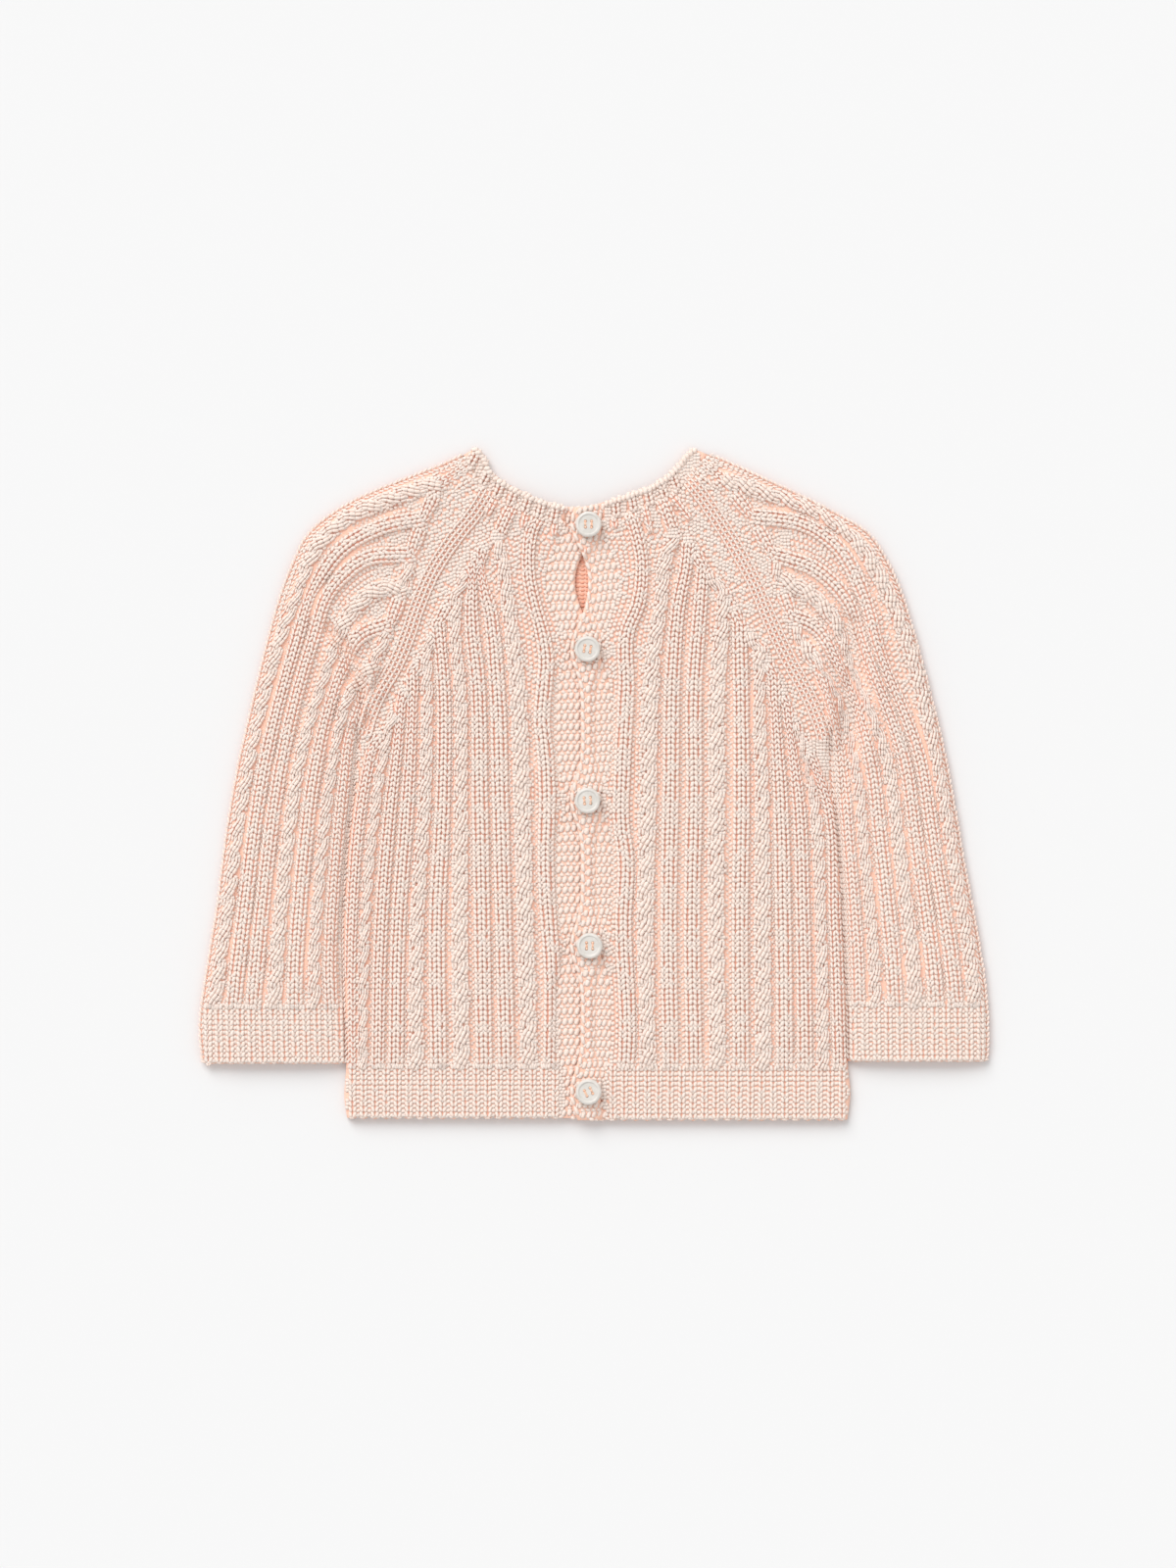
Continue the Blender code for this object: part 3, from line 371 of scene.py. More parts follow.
class Loops:
    """The knitted loops that lie on a cloth's surface. Each is an oval of yarn."""
    def __init__(self, surface, outline, seed, edge=0.3):
        self.surface, self.outline, self.edge = surface, outline, edge
        self.draw = np.random.default_rng(seed)
        self.parts = []

    def add(self, places, heading, size, lift, pitch=0.0, keep=None):
        """Ovals at these places: half length, half width and half thickness, risen by lift."""
        count = len(places)
        size = np.stack([np.broadcast_to(s, count) for s in size], axis=1)
        lift, pitch = np.broadcast_to(lift, count), np.broadcast_to(pitch, count)
        ring = np.vstack([self.outline, self.outline[:1]])
        good = inside(places, self.outline) & (distance_to(places, ring) > self.edge)
        places = np.asarray(places, float)
        if keep is not None:
            good &= keep
        places, heading, size, lift, pitch = (a[good] for a in (places, heading, size, lift, pitch))
        count = len(places)
        if not count:
            return
        turn = self.draw.normal(0.0, TURN_JITTER, count)
        places = places + self.draw.normal(0.0, PLACE_JITTER, (count, 2))
        heading = np.stack([heading[:, 0] * np.cos(turn) - heading[:, 1] * np.sin(turn),
                            heading[:, 0] * np.sin(turn) + heading[:, 1] * np.cos(turn)], axis=1)
        level = self.surface(places)
        slope = np.stack([(self.surface(places + move) - self.surface(places - move)) / (2 * SLOPE_STEP)
                          for move in SLOPE_STEP * np.eye(2)], axis=1)
        normal = np.column_stack([-slope, np.ones(count)])
        normal /= np.linalg.norm(normal, axis=1)[:, None]
        ahead = np.column_stack([heading, (slope * heading).sum(axis=1)])
        ahead /= np.linalg.norm(ahead, axis=1)[:, None]
        dip = pitch[:, None]
        ahead, normal = (ahead * np.cos(dip) + normal * np.sin(dip),
                         normal * np.cos(dip) - ahead * np.sin(dip))
        aside = np.cross(normal, ahead)
        centre = np.column_stack([places, level + lift])
        matrix = np.stack([aside, normal, ahead], axis=2)
        euler = np.column_stack([np.arctan2(matrix[:, 2, 1], matrix[:, 2, 2]),
                                 -np.arcsin(matrix[:, 2, 0].clip(-1.0, 1.0)),
                                 np.arctan2(matrix[:, 1, 0], matrix[:, 0, 0])])
        grow = FILL_OUT + self.draw.normal(0.0, SIZE_JITTER, (count, 3))
        scale = size[:, [1, 2, 0]] * grow
        self.parts.append((centre, euler, scale, self.draw.normal(0.0, TINT_JITTER, count)))

    def purls(self, places, across, width, lift=0.2, keep=None, tall=1.06, slant=0.3):
        """Purl stitches: one short slanted bar of yarn for each, lying across its column."""
        way = across * math.cos(slant) + left_of(across) * math.sin(slant)
        self.add(places, way, (0.53 * np.asarray(width), tall, 0.42), lift, 0.0, keep)

    def build(self, name, material):
        """One piece of all the ovals, as a plain mesh."""
        points = bpy.data.meshes.new(name)
        centre, turn, size, tint = (np.concatenate(values) for values in zip(*self.parts))
        points.from_pydata([tuple(MM * p) for p in centre], [], [])
        for label, kind, values in (("turn", "FLOAT_VECTOR", turn), ("size", "FLOAT_VECTOR", MM * size),
                                    ("tint", "FLOAT", tint)):
            column = points.attributes.new(label, kind, "POINT")
            column.data.foreach_set("value" if kind == "FLOAT" else "vector", np.ravel(values))
        piece = bpy.data.objects.new(name, points)
        bpy.context.scene.collection.objects.link(piece)
        modifier = piece.modifiers.new("loops", "NODES")
        modifier.node_group = LOOP_TREE
        for item in LOOP_TREE.interface.items_tree:
            if item.name == "Yarn":
                modifier[item.identifier] = material
        laid = piece.evaluated_get(bpy.context.evaluated_depsgraph_get())
        piece.data = bpy.data.meshes.new_from_object(laid)
        piece.modifiers.clear()
        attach(piece, "root")
        return piece


# Painted shade: the deep salmon here is what the loops take on their low sides, and the cloth under the
# loops is coloured deeper salmon than the yarn, as painted shade for the gaps between them.
SHADE_SALMON = (0.99, 0.50, 0.36)
shaded_ground_wool = wool("shaded_ground_wool", (0.97, 0.63, 0.50), (0.96, 0.58, 0.45), SHADE_SALMON, lift=0.5, sheen=0.05)
# the same yarn, coloured darker as painted shade, for the front's inside under the back
shaded_wool = wool("shaded_wool", (0.90, 0.50, 0.36), (0.86, 0.40, 0.28), (0.62, 0.22, 0.14))

left_front = spaced(shifted(sides["left"], -FRONT_INSET), 4.0)
right_front = spaced(shifted(sides["right"], FRONT_INSET), 4.0)
front_seams = {side: spaced(seam(side, -JOIN / 2), 4.0) for side in raglans}
front_neck = curve([front_seams["left"][0]] + FRONT_NECK + [front_seams["right"][0]], 4.0)
front_outline = np.vstack([right_front, front_seams["right"][::-1][1:-1], front_neck[::-1],
                           front_seams["left"][1:-1], left_front[::-1]])


def front_top(points):
    return np.full(len(points), FRONT_WALL - 0.1)


front = wall_of("front_cloth", front_outline, front_top, lambda p: np.zeros(len(p)), 6.0, shaded_ground_wool)
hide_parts("front")

# The purl side of the front, where the gap below the first button shows it. Its yarn is coloured darker and
# deeper salmon, as painted shade for the shadow it lies in under the back.
inside_window = np.array([(-16.0, 76.0), (3.0, 76.0), (3.0, 113.0), (-16.0, 113.0)])
inside_loops = Loops(front_top, inside_window, 33)
inside_rows = np.arange(77.5, 112.0, 1.9)
for x in np.arange(-15.0, 2.0, 2.4):
    places = np.stack([np.full(len(inside_rows), x), inside_rows], axis=1)
    inside_loops.purls(places, np.tile([1.0, 0.0], (len(places), 1)), 2.3, 0.0, None, 0.72, 0.0)
front_loops = inside_loops.build("front_loops", shaded_wool)

# ================================================================ back halves
# The two halves of the back, on top, open down the middle: broad ribs two stitches wide and
# ropes of four stitches on a purl ground. At the raglan each rib ends in a point and runs on
# beside the seam's own three-stitch rib. The hem is single ribbing. Knitted from the hem up.
LOFT = 2.0              # how far the middle of the back stands up over the front
BODY_HALF = 118.0       # the loft falls off to the sides, and from its middle to hem and neck
BODY_MIDDLE = -20.0
BODY_REACH = 150.0
BACK_WALL = 2.0
ROLL = 6.0              # over this much of its edge a cloth curls under
RIM_WALL = 2.2          # the rolled side's width, down beside the front
ROW = 2.5               # one knitted row
RIB_HALF = 3.9
ROPE_SHARE = 1.18       # a rope is wider than a rib
CABLE_CROSS = 10.0      # from one crossing of a rope to the next
RIB_RISE = 1.65
RAGLAN_RISE = 0.6       # the raglan's rib is lower, by this share
RIB_SHOULDER = 1.12     # a rib's round side ends a little beyond its loops
PURL_WIDTH = 2.35
HEM_TOP = -133.0
HEM_FADE = 14.0         # the ribs rise to their full height over this much above the hem
HEM_PITCH = 5.3
HEM_WAVE = 0.55         # the cast-on edge goes in and out with the ribbing
KEYHOLE_Y = 95.0
KEYHOLE_REACH = 17.0    # the gap below the first button, above and below its middle
BUTTON_REACH = 12.5     # each button draws the two edges together over this much
NECK_WALL = 1.6
SHOULDER_DROP = 2.1     # the neck ribbing sinks by this much, from this far out to twice as far
SHOULDER_START = 25.0
SEAM_LEVEL = 5.4        # the height of the cloth on both sides of the raglan seam
SIDE_TOP = 1.9          # and at the body's and the sleeves' facing edges
PLACKET_TOP = {"left": 0.8, "right": 1.0}   # over the front, where the bands are picked up
PLACKET_EASE = 5.0      # the cloth comes down to its edges over these distances
SEAM_EASE = 3.0
NECK_EASE = 6.0
BORDER_LANES = 6        # purl columns beside the raglan's rib, the first one starting here
BORDER_START = RAGLAN_HALF + 1.5
PAST_NECK = 140.0       # a height beyond the neck, to which upright lines are drawn
BACK_SHELL = 0.78       # the shell has this share of the relief, so that it stays under the loops
BACK_SEEDS = {"left": 11, "right": 12}
# Each button's middle, and the angle at which it is sewn on, in degrees.
BUTTONS = [(-2.5, 121.5, 0.0), (-3.0, 63.0, -10.0), (-3.0, -8.0, 4.0), (-2.0, -76.0, 0.0),
           (-2.5, -144.5, 25.0)]
# Creases of the cloth: half width, height, and the points of each one's line.
FOLDS = [(2.4, -4.0, [(-123.5, 72.0), (-115.0, 60.5), (-109.0, 45.0), (-107.0, 28.0)]),
         (4.0, 2.7, [(-113.0, 70.0), (-107.5, 59.0), (-102.5, 44.0)]),
         (3.6, 1.9, [(-128.0, 66.0), (-121.0, 52.0), (-115.0, 30.0)]),
         (4.2, 2.7, [(105.0, 62.0), (109.0, 45.0), (111.0, 20.0)]),
         (4.6, -3.6, [(121.0, 74.0), (122.8, 55.0), (119.6, 32.0), (115.5, 9.0), (114.0, -4.0)]),
         (5.0, 1.6, [(130.0, 76.0), (131.5, 48.0), (128.0, 12.0)]),
         (2.4, -1.2, [(-121.5, -74.0), (-118.5, -86.0), (-117.5, -100.0)])]
# Each rib's middle line, from the placket outwards: kind, then x and y from the hem up to its
# point at the raglan. From there it bends towards the point of the one before.
RIB_TABLE = {
    "left": [
        ("plain", [(-20.0, -132.5), (-19.8, -85.8), (-21.2, -64.6), (-22.5, -41.2), (-22.1, 1.2),
                   (-23.0, 15.4), (-24.4, 29.2), (-23.5, 43.5), (-22.5, 58.7), (-24.4, 71.5),
                   (-28.0, 84.4), (-30.4, 96.4), (-30.8, 107.9), (-29.0, 119.4), (-25.5, 126.0)]),
        ("cable", [(-30.5, -132.5), (-32.2, -64.6), (-34.0, -4.5), (-35.9, 45.8), (-39.6, 78.0),
                   (-43.2, 103.7), (-45.6, 114.8)]),
        ("plain", [(-41.0, -132.5), (-42.5, -64.5), (-44.0, -4.5), (-45.5, 45.8), (-48.3, 78.0),
                   (-52.9, 103.7), (-51.5, 111.5)]),
        ("plain", [(-51.5, -132.5), (-52.5, -64.5), (-53.5, -4.5), (-54.5, 46.0), (-57.5, 80.0),
                   (-56.6, 102.4)]),
        ("cable", [(-62.0, -132.5), (-63.0, -64.5), (-62.5, -4.5), (-63.0, 46.0), (-65.5, 74.0),
                   (-64.4, 89.5)]),
        ("plain", [(-73.0, -132.5), (-73.5, -64.5), (-70.8, -4.5), (-70.7, 46.0), (-73.1, 75.2)]),
        ("cable", [(-83.5, -132.5), (-83.0, -64.5), (-79.3, -4.5), (-78.3, 40.0), (-78.6, 61.4)]),
        ("plain", [(-93.0, -132.5), (-91.6, -64.5), (-87.2, -4.5), (-85.3, 36.0), (-85.1, 52.2)]),
        ("plain", [(-101.5, -132.5), (-99.8, -64.5), (-94.8, -4.5), (-91.5, 24.0), (-90.5, 38.0)]),
        ("cable", [(-108.6, -132.5), (-107.4, -64.5), (-101.8, -4.5), (-98.0, 18.0), (-96.2, 26.9)]),
        ("plain", [(-114.4, -132.5), (-113.8, -64.5), (-108.4, -4.5), (-104.4, 16.0)]),
    ],
    "right": [
        ("plain", [(15.0, -132.5), (15.6, -121.2), (13.8, -64.6), (14.7, -34.3), (12.9, -20.0),
                   (13.3, 8.1), (15.2, 45.8), (15.6, 71.5), (20.7, 84.4), (22.5, 97.3), (22.1, 107.0),
                   (19.3, 119.4), (16.6, 128.0)]),
        ("cable", [(25.5, -132.5), (24.0, -64.6), (25.5, -4.5), (27.6, 58.7), (31.3, 84.4), (34.0, 106.5),
                   (38.0, 116.2)]),
        ("plain", [(36.0, -132.5), (35.0, -64.5), (36.0, -4.5), (37.3, 58.7), (39.6, 84.4), (43.4, 103.7),
                   (44.2, 113.5)]),
        ("plain", [(47.0, -132.5), (46.0, -64.5), (47.0, -4.5), (47.0, 46.0), (49.5, 80.0),
                   (51.1, 101.4)]),
        ("cable", [(58.0, -132.5), (57.3, -64.5), (57.5, -4.5), (58.0, 46.0), (60.0, 72.0),
                   (61.2, 89.5)]),
        ("plain", [(69.0, -132.5), (68.5, -64.5), (69.2, -4.5), (68.8, 46.0), (68.1, 74.8)]),
        ("cable", [(79.5, -132.5), (79.0, -64.5), (78.8, -4.5), (77.5, 40.0), (77.7, 62.3)]),
        ("plain", [(89.5, -132.5), (88.8, -64.5), (87.4, -4.5), (85.0, 36.0), (84.2, 50.8)]),
        ("plain", [(99.0, -132.5), (98.0, -64.5), (95.6, -4.5), (92.2, 22.0), (90.6, 35.7)]),
        ("cable", [(107.6, -132.5), (106.2, -64.5), (102.6, -4.5), (98.5, 14.0), (96.1, 24.2)]),
        ("plain", [(115.4, -132.5), (113.2, -64.5), (108.8, -4.5), (102.4, 10.8)]),
    ],
}
# The ribs that run on from there to the neck: half width, then the points from the leaf up.
YOKE_RIBS = {
    "left": [(3.0, [(-45.6, 114.8), (-41.2, 124.5), (-36.6, 134.0)]),
             (1.5, [(-49.3, 127.8), (-46.0, 134.0), (-42.5, 140.5)]),
             (1.4, [(-32.9, 122.0), (-30.2, 132.0)]),
             (1.4, [(-18.6, 118.0), (-17.4, 128.0)])],
    "right": [(3.0, [(38.0, 116.2), (34.8, 126.4), (29.9, 137.0)]),
              (1.5, [(44.2, 125.4), (38.6, 132.7), (34.0, 138.5)]),
              (1.4, [(26.2, 119.5), (23.4, 132.5)]),
              (1.3, [(9.6, 121.5), (8.6, 130.0)])],
}
# Cream and pink are the yarn's heather; the loops' low sides take the deep salmon of painted shade.
CREAM = (0.84, 0.74, 0.675)
PINK = (0.875, 0.695, 0.605)
loop_wool = wool("loop_wool", CREAM, PINK, SHADE_SALMON)


def swell(y, centres, reach):
    """A smooth hump at each centre, 1 at its top."""
    return sum(np.exp(-((y - centre) / reach) ** 2) for centre in centres)


BUTTON_YS = [y for _, y, _ in BUTTONS]


def under_band_left(y):
    return -17.0 + 4.5 * swell(y, BUTTON_YS, BUTTON_REACH) - 5.2 * swell(y, [KEYHOLE_Y], KEYHOLE_REACH)


def over_band_right(y):
    return 7.8 - 5.2 * swell(y, BUTTON_YS, BUTTON_REACH) + 3.4 * swell(y, [KEYHOLE_Y], KEYHOLE_REACH)


def upright(edge_x, offset, low, high):
    """An edge that runs up the body, as a line from one height to another."""
    ys = np.linspace(low, high, round((high - low) / 3.0))
    return np.stack([edge_x(ys) + offset, ys], axis=1)


def folds(points):
    total = np.zeros(len(points))
    for half, height, line in FOLDS:
        total += height * np.exp(-(distance_to(points, np.array(line)) / half) ** 2)
    return total


def body_loft(points):
    across = 1.0 - (points[:, 0] / BODY_HALF) ** 2
    along_body = 1.0 - ((points[:, 1] - BODY_MIDDLE) / BODY_REACH) ** 2
    return LOFT * across.clip(0.0) * along_body.clip(0.0)


def roll(away, top, edge):
    """The top of a cloth that curls round to a lower height at its edge."""
    turn = 1.0 - (away / ROLL).clip(0.0, 1.0)
    return edge + (top - edge) * np.sqrt(1.0 - turn**2)


def eased(level, to, away, reach):
    """The level, brought smoothly to another one at an edge."""
    share = (away / reach).clip(0.0, 1.0)
    return to + (level - to) * share * share * (3.0 - 2.0 * share)


def neck_base(points):
    past = (np.abs(points[:, 0]) / SHOULDER_START - 1.0).clip(0.0, 1.0)
    return FRONT_WALL + SEAM_GAP - SHOULDER_DROP * past**2 * (3.0 - 2.0 * past)


def neck_level(points):
    return 0.6 * neck_base(points) + 0.4 * (FRONT_WALL + SEAM_GAP) + NECK_WALL


class Rib:
    """A raised rib: its middle line, its half width at each point, and its kind."""
    def __init__(self, kind, path, half):
        self.kind, self.path, self.half = kind, path, np.broadcast_to(half, len(path)).copy()

    def relief(self, points):
        picks = np.unique(np.append(np.arange(0, len(self.path), 3), len(self.path) - 1))
        away, place = nearest_on(points, self.path[picks])
        share = away / np.interp(place, along(self.path[picks]), self.half[picks])
        rise = RIB_RISE * (RAGLAN_RISE if self.kind == "raglan" else 1.0)
        return rise * np.sqrt((1.0 - (share / RIB_SHOULDER) ** 2).clip(0.0))


def sampled(height, outline, step=1.0):
    """The height over the outline's box, worked out once on a grid and read off between."""
    low, high = outline.min(axis=0) - 3.0, outline.max(axis=0) + 3.0
    count = np.ceil((high - low) / step).astype(int) + 1
    xs, ys = (low[axis] + step * np.arange(count[axis]) for axis in range(2))
    table = height(np.stack(np.meshgrid(xs, ys, indexing="ij"), axis=-1).reshape(-1, 2)).reshape(count)

    def level(points):
        spot = ((points - low) / step).clip(0.0, count - 1.001)
        cell = np.floor(spot).astype(int)
        x, y = (spot - cell).T
        i, j = cell.T
        return ((1 - x) * (1 - y) * table[i, j] + x * (1 - y) * table[i + 1, j]
                + (1 - x) * y * table[i, j + 1] + x * y * table[i + 1, j + 1])
    return level


def stations_on(path, rows):
    """The places at these distances along the path, and the heading and the side at each."""
    heading, side = (np.stack([np.interp(rows, along(path), way[:, i]) for i in range(2)], axis=1)
                     for way in headings(path))
    return point_at(path, rows), heading, side


LEG_SLANT = 0.32
LEG_OFFSET = 0.285      # of a stitch's width, from its middle to the middle of each leg
SLOPE_OUT = 1.06        # the outer columns lie down the rib's sides


def lay_wales(loops, path, half, count, lift=0.35, row=ROW, keep=None):
    """Columns of knit stitches side by side on the path: every stitch is a V of two legs."""
    level = along(path)
    rows = np.arange(0.0, level[-1] - 0.3 * row, row)
    spots, heading, side = stations_on(path, rows)
    norm = np.linalg.norm(heading, axis=1)[:, None]
    heading, side = heading / norm, side / norm
    half = np.interp(rows, level, np.broadcast_to(half, len(path)))
    width = 2.0 * half / count
    size = (0.68 * row, 0.24 * width, 0.12 + 0.15 * np.minimum(width, 3.2))
    if keep is not None:
        keep = keep(spots)
    for i in range(count):
        offset = SLOPE_OUT * half * (-1.0 + (2 * i + 1) / count)
        for hand in (1.0, -1.0):
            places = spots + side * (offset + hand * width * LEG_OFFSET)[:, None]
            way = heading * math.cos(LEG_SLANT) + side * hand * math.sin(LEG_SLANT)
            loops.add(places, way, size, lift, -0.16, keep)


def lay_cords(loops, path, half, count):
    """A narrow rib whose stitches are drawn tight: cords of yarn with small rungs between."""
    spots = point_at(path, np.arange(0.0, along(path)[-1], ROW))
    heading, side = headings(spots)
    step = 2.0 * half / count
    for i in range(count + 1):
        offset = side * (i * step - half)
        loops.add(spots + offset, heading, (0.72 * ROW, 0.29 * step, 0.55), 0.42, -0.08)
        if i < count:
            rungs = spots + offset + side * 0.5 * step + heading * 0.5 * ROW
            loops.add(rungs, side, (0.40 * step, 0.62, 0.42), 0.2)


STRAND_SWING = 0.42     # of the rope's half width, from its middle to each strand at its widest


def lay_rope(loops, path, half, keep, phase):
    """A four-stitch cable: two strands of two stitches that cross the same way each time."""
    level = along(path)
    rows = np.arange(0.0, level[-1] - 0.3 * ROW, ROW)
    spots, heading, side = stations_on(path, rows)
    half = np.interp(rows, level, np.broadcast_to(half, len(path)))
    shown = keep(spots)
    for strand in (0.0, 1.0):
        turn = math.pi * (rows / CABLE_CROSS + strand + phase)
        middle = STRAND_SWING * half * np.cos(turn)
        in_front = np.sin(turn)                     # going right on its way up, so on top
        slope = -STRAND_SWING * half * math.pi / CABLE_CROSS * np.sin(turn)
        way = heading + side * slope[:, None]
        way /= np.linalg.norm(way, axis=1)[:, None]
        width = (0.47 + 0.13 * in_front**2) * half
        size = (0.82 * ROW, 0.36 * width, 0.25 + 0.18 * width)
        visible = shown & (in_front > -0.5)
        for i in (-0.68, 0.0, 0.68):
            places = spots + side * middle[:, None] + left_of(way) * (i * width)[:, None]
            rise = 0.4 + 0.5 * in_front - (0.3 if i else 0.0)
            loops.add(places, way, size, rise, -0.08, visible)


def fill_bare(loops, room=1.42, keep=None):
    """Purl stitches wherever the columns have left a patch with nothing within this distance."""
    low, high = loops.outline.min(axis=0), loops.outline.max(axis=0)
    xs, ys = (np.arange(low[axis], high[axis], 0.8) for axis in range(2))
    spots = np.stack(np.meshgrid(xs, ys), axis=-1).reshape(-1, 2)
    spots = spots[inside(spots, loops.outline)]
    if keep is not None:
        spots = spots[keep(spots)]
    cells = {}
    for x, y in np.concatenate([part[0][:, :2] for part in loops.parts]):
        cells.setdefault((int(x // room), int(y // room)), []).append((x, y))
    bare = []
    for x, y in spots:
        i, j = int(x // room), int(y // room)
        near = (other for di in (-1, 0, 1) for dj in (-1, 0, 1)
                for other in cells.get((i + di, j + dj), ()))
        if all((x - u) ** 2 + (y - v) ** 2 > room**2 for u, v in near):
            bare.append((x, y))
            cells.setdefault((i, j), []).append((x, y))
    if bare:
        loops.purls(np.array(bare), np.tile([1.0, 0.0], (len(bare), 1)), 2.2)


def rib_set(table, width_at, bend_from=2):
    """The ribs of one piece, each narrowed where its neighbours come near."""
    lines = [curve(knots, 1.25) for _, knots in table]
    ribs = []
    for index, (kind, knots) in enumerate(table):
        path = lines[index]
        half = width_at(path) * (ROPE_SHARE if kind == "cable" else 1.0)
        room = 0.47 if kind == "cable" else 0.42
        for beside in lines[max(index - 1, 0):index] + lines[index + 1:index + 2]:
            half = np.minimum(half, room * distance_to(path, beside))
        if index > bend_from:
            target = np.array(table[index - 1][1][-1])
            bend = spaced(np.vstack([path[-1], target]), 1.25)[1:]
            near_point = along(path) > along(path)[-1] - 5.0
            half = np.where(near_point, half.clip(2.4), half)
            leaf = 1.7 + 1.7 * np.sin(math.pi * np.linspace(0.12, 1.0, len(bend)))
            path, half = np.vstack([path, bend]), np.concatenate([half, leaf])
        ribs.append(Rib(kind, path, half.clip(1.2)))
    return ribs


def claimed(ribs, margin=0.0):
    """Whether each point lies on one of these ribs."""
    def test(points):
        taken = np.zeros(len(points), bool)
        for rib in ribs:
            away, place = nearest_on(points, rib.path)
            taken |= away < np.interp(place, along(rib.path), rib.half) + margin
        return taken
    return test


def lay_ribs(loops, ribs):
    """Knit columns or a rope on each rib. Where two meet, the earlier one has the room."""
    for index, rib in enumerate(ribs):
        taken = claimed(ribs[:index], 0.6)
        keep = lambda spots: ~taken(spots)
        if rib.kind == "cable":
            lay_rope(loops, rib.path, rib.half, keep, 0.05 * index)
        else:
            lay_wales(loops, rib.path, rib.half, 1 if rib.half[0] < 2.0 else 2, keep=keep)


def lay_gutters(loops, one, other, ribs=()):
    """Purl columns between two lines that run side by side, each with its half width."""
    rows = np.arange(0.4 * ROW, along(one.path)[-1], ROW)
    spots = point_at(one.path, rows)
    near, place = nearest_on(spots, other.path)
    mates = point_at(other.path, place)
    own = np.interp(rows, along(one.path), one.half)
    theirs = np.interp(place, along(other.path), other.half)
    way = (mates - spots) / np.maximum(near, 1e-6)[:, None]
    gap = near - own - theirs
    taken = claimed([rib for rib in ribs if rib is not one and rib is not other])
    good = (gap > 0.7) & (place > 0.1) & (place < along(other.path)[-1] - 0.1)
    across = way * np.where(way[:, :1] < 0, -1.0, 1.0)
    upwards = left_of(across)
    count = np.where(gap < 3.4, 1, np.maximum(2, np.round(gap / PURL_WIDTH))).astype(int)
    for number in range(1, count.max() + 1):
        pick = good & (count == number)
        if not pick.any():
            continue
        step = gap[pick] / number
        for i in range(number):
            places = spots[pick] + way[pick] * (own[pick] + (i + 0.5) * step)[:, None]
            places = places + upwards[pick] * 0.5 * ROW * (i % 2)
            if number > 1:
                loops.purls(places, across[pick], step, keep=~taken(places))
                continue
            for hand in (-1.0, 1.0):    # a lone column's bars lie left and right in turn, like bricks
                brick = places + across[pick] * (hand * 0.24 * step)[:, None]
                brick = brick + upwards[pick] * 0.25 * ROW * hand
                loops.purls(brick, across[pick], 0.72 * step + 0.6, -0.1, ~taken(brick), 0.9, 0.45 * hand)


def lay_border(loops, line, outward, ribs):
    """Purl columns that run beside the raglan's rib, as far as the ribs' points."""
    taken = claimed(ribs, 0.7)
    ys = np.arange(line[:, 1].min() - 4.0, line[:, 1].max() + 8.0, ROW * 0.96)
    for lane in range(BORDER_LANES):
        path = shifted(line, outward * (BORDER_START + PURL_WIDTH * 0.92 * lane))
        order = np.argsort(path[:, 1])
        rows = ys + 0.48 * ROW * (lane % 2)
        xs = np.interp(rows, path[order, 1], path[order, 0], left=np.nan, right=np.nan)
        places = np.stack([xs, rows], axis=1)[~np.isnan(xs)]
        across = np.tile([1.0, 0.0], (len(places), 1))
        loops.purls(places, across, PURL_WIDTH, keep=~taken(places))


def lay_ribbing(loops, low_start, low_end, high_start, high_end, count, half):
    """Single ribbing: a column of knit and a column of purl in turn, drawn from its low edge up."""
    low, high = (np.linspace(a, b, 2 * count + 1)
                 for a, b in ((low_start, low_end), (high_start, high_end)))
    purl_width = np.linalg.norm(low[2] - low[0]) - 2.0 * half + 0.7
    for i in range(count):
        start, end = low[2 * i + 1], high[2 * i + 1]
        away = (end - start) / np.linalg.norm(end - start)
        lay_wales(loops, spaced(np.array([start + 1.9 * away, end]), 1.25), half, 1)
        if i:
            start, end = low[2 * i], high[2 * i]
            places = spaced(np.array([start + 1.4 * away, end]), 0.9 * ROW)
            across = np.tile([away[1], -away[0]], (len(places), 1))
            loops.purls(places, across, purl_width, 0.1, None, 0.98, 0.15)


def lay_cast_on(loops, line):
    """The cast-on edge: a row of rounded loops along the end of the ribbing."""
    edge = spaced(line, HEM_PITCH / 2)
    heading, side = headings(edge)
    inward = side if side[0, 1] > 0 else -side
    loops.add(edge + 0.85 * inward, heading, (1.55, 0.75, 0.8), -0.1)


def neck_part(start, end, depth):
    """The part of the line below the neck edge that lies between two points."""
    line = below_neck(depth)
    picks = [np.linalg.norm(line - point, axis=1).argmin() for point in (start, end)]
    low, high = min(picks), max(picks)
    part = line[low + 1:high]
    part = part if picks[0] < picks[1] else part[::-1]
    return np.vstack([start, spaced(part, 3.0), end])


def build_loops(loops, node):
    """Builds the loops of a cloth, and hides the CAD node that the cloth and its loops stand in for."""
    piece = loops.build(f"{node}_loops", loop_wool)
    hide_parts(node)
    return piece


